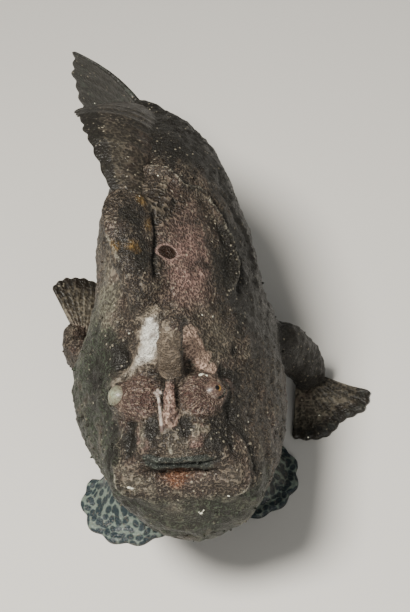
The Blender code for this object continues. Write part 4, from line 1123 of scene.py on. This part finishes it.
def rounded(share):
    """How thick an edge still is, at a share of the way over its rounding."""
    return np.sqrt(np.clip(1.0 - np.clip(share, 0.0, 1.0) ** 2, 0.12, 1.0))


def fin_mesh(rays, place, thick, notch, floor_at):
    """Two sheets over the rays, joined round their rim, with a ridge along every ray.

    thick is (ray at the root, web at the root, tip); notch is how far the web stops short.
    It gives the mesh, and how far along and across the fin each of its points lies.
    """
    gaps = rays - 1
    columns = gaps * COLUMNS_PER_GAP + 2
    us = np.linspace(-EDGE_OVERRUN, gaps + EDGE_OVERRUN, columns + 1) / gaps
    vs = np.linspace(0.0, 1.0, FIN_ROWS + 1) ** 0.92
    ridge = waves(us * gaps) ** 2.0
    past = np.clip(np.maximum(-us, us - 1.0) * gaps / EDGE_OVERRUN, 0.0, 1.0)
    middle = np.zeros((columns + 1, FIN_ROWS + 1, 3))
    for c, u in enumerate(us):
        wander = FIN_WANDER * noise.noise(Vector((u * gaps * 0.9, rays, 0.0)))
        reach = 1.0 - notch * (1.0 - waves(u * gaps) ** 0.7) + wander - FIN_WANDER * past[c]
        for r, v in enumerate(vs):
            middle[c, r] = place(u, v * reach)
    normals = np.cross(np.gradient(middle, axis=0), np.gradient(middle, axis=1))
    normals /= np.maximum(np.linalg.norm(normals, axis=2, keepdims=True), 1e-9)
    root, web, tip = thick
    body = (web + (root - web) * ridge)[:, None] * (1 - vs)[None, :]
    body += (tip * (0.82 + 0.22 * ridge))[:, None] * vs[None, :]
    rim = rounded((vs - 1.0 + FIN_RIM) / FIN_RIM)[None, :] * rounded(past)[:, None]
    body *= rim
    work = bmesh.new()
    along = []
    across = []
    for side in (0.5, -0.5):
        sheet = bmesh.ops.create_grid(work, x_segments=columns, y_segments=FIN_ROWS, size=0.5)["verts"]
        for vert in sheet:
            c = round((vert.co.x + 0.5) * columns)
            r = round((vert.co.y + 0.5) * FIN_ROWS)
            point = middle[c, r] + normals[c, r] * side * body[c, r]
            lumps = FIN_LUMPS * noise.noise(Vector(point) / FIN_LUMP_SIZE) * (0.3 + 0.7 * ridge[c])
            point = point + normals[c, r] * side * lumps * rim[c, r]
            if floor_at is not None and point[2] < floor_at:
                point[2] = SOLE_HEIGHT
            vert.co = Vector(point) * MM
            along.append(vs[r])
            across.append(us[c] * gaps)
    bmesh.ops.bridge_loops(work, edges=[e for e in work.edges if e.is_boundary])
    bmesh.ops.recalc_face_normals(work, faces=work.faces)
    return work, np.array(along), np.array(across)


LEFT_HAND = fan((42.8, 27.5, 0.0), (0.62, -0.78, 0.0), (0.78, 0.62, 0.0), (-42.0, 32.0), 1.0, 35.0, 0.92,
                0.12, 0.55)
RIGHT_HAND = fan((-42.0, 17.0, 42.0), (0.0, 0.98, 0.2), (-0.86, 0.0, 0.5), (-36.0, 32.0), 3.0, 31.5, 0.86)
LEFT_PELVIC = fan((18.0, -20.0, 0.0), (0.0, -1.0, 0.0), (1.0, 0.0, 0.0), (-4.0, 122.0), 5.0, 25.5, 0.84)
RIGHT_PELVIC = fan((-20.0, -25.5, 0.0), (0.0, -1.0, 0.0), (-1.0, 0.0, 0.0), (-22.0, 98.0), 5.0, 29.0, 0.84)
FINS = (
    # node, rays, place, thickness, notch, teal from root to tip, darkness (on the tail fin, painted shade),
    # planted
    ("left_hand", 10, planted(LEFT_HAND, 5.0), (4.0, 3.75, 1.9), 0.02, (0.0, 0.3), 0.05, True),
    ("right_hand", 10, RIGHT_HAND, (3.4, 3.05, 1.6), 0.02, (0.0, 0.2), 0.0, False),
    ("left_pelvic_fin", 6, planted(LEFT_PELVIC, 18.0), (6.2, 5.2, 2.0), 0.07, (0.5, 0.8), 0.3, True),
    ("right_pelvic_fin", 6, planted(RIGHT_PELVIC, 18.0), (6.2, 5.2, 2.0), 0.07, (0.85, 1.0), 0.1, True),
    ("dorsal_fin", 13, dorsal_place, (2.8, 2.1, 1.1), 0.03, (0.0, 0.0), 0.6, False),
    ("anal_fin", 8, anal_place, (2.4, 1.4, 0.9), 0.08, (0.0, 0.2), 0.5, False),
    ("caudal_fin", 9, tail_place, (2.8, 1.8, 1.0), 0.03, (0.3, 0.3), 1.0, False),
)


def ovals(tree):
    """Round dark spots in rows along the rays."""
    inputs = {"Vector": attribute(tree, "weave", "Vector"), "Scale": 1.0, "Randomness": 0.8}
    made = node(tree, "TexVoronoi", inputs, voronoi_dimensions="2D")
    return edge(made.outputs["Distance"], 0.66, 0.38)


FIN_MARKINGS = ("teal", "dark", "green", "pale", "cells", "rims")
fin_finish = camouflaged("mottled_fin", FIN_MARKINGS, FIN_RELIEF, "Ovals", ovals)
for name, rays, place, thick, notch, teal, darkness, is_planted in FINS:
    work, along, across = fin_mesh(rays, place, thick, notch, SOLE_BELOW if is_planted else None)
    fin = placed("webbed_" + name, finished(work, "webbed_" + name))
    fin.data.shade_smooth()
    ridge = waves(across) ** 1.5
    tips = step(along, 0.72, 0.92)
    keep_fields(fin.data, {
        "teal": teal[0] + (teal[1] - teal[0]) * along,
        "dark": darkness + 0.08 * (1 - ridge) + 0.7 * tips,
        "green": np.full(len(along), 0.25),
        "pale": (0.5 + 0.18 * ridge) * (1 - tips) * (1 - darkness),
        "cells": np.full(len(along), 0.3),
        "rims": 0.25 * step(along, 0.97, 0.995),
    })
    weave = (across * 3.3, along * 8.5 + 3.0 * rays, np.zeros(len(along)))
    keep(fin.data, "weave", np.stack(weave, axis=1), "FLOAT_VECTOR")
    fin.data.materials.append(fin_finish)
    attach(fin, "root")
    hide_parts(name)
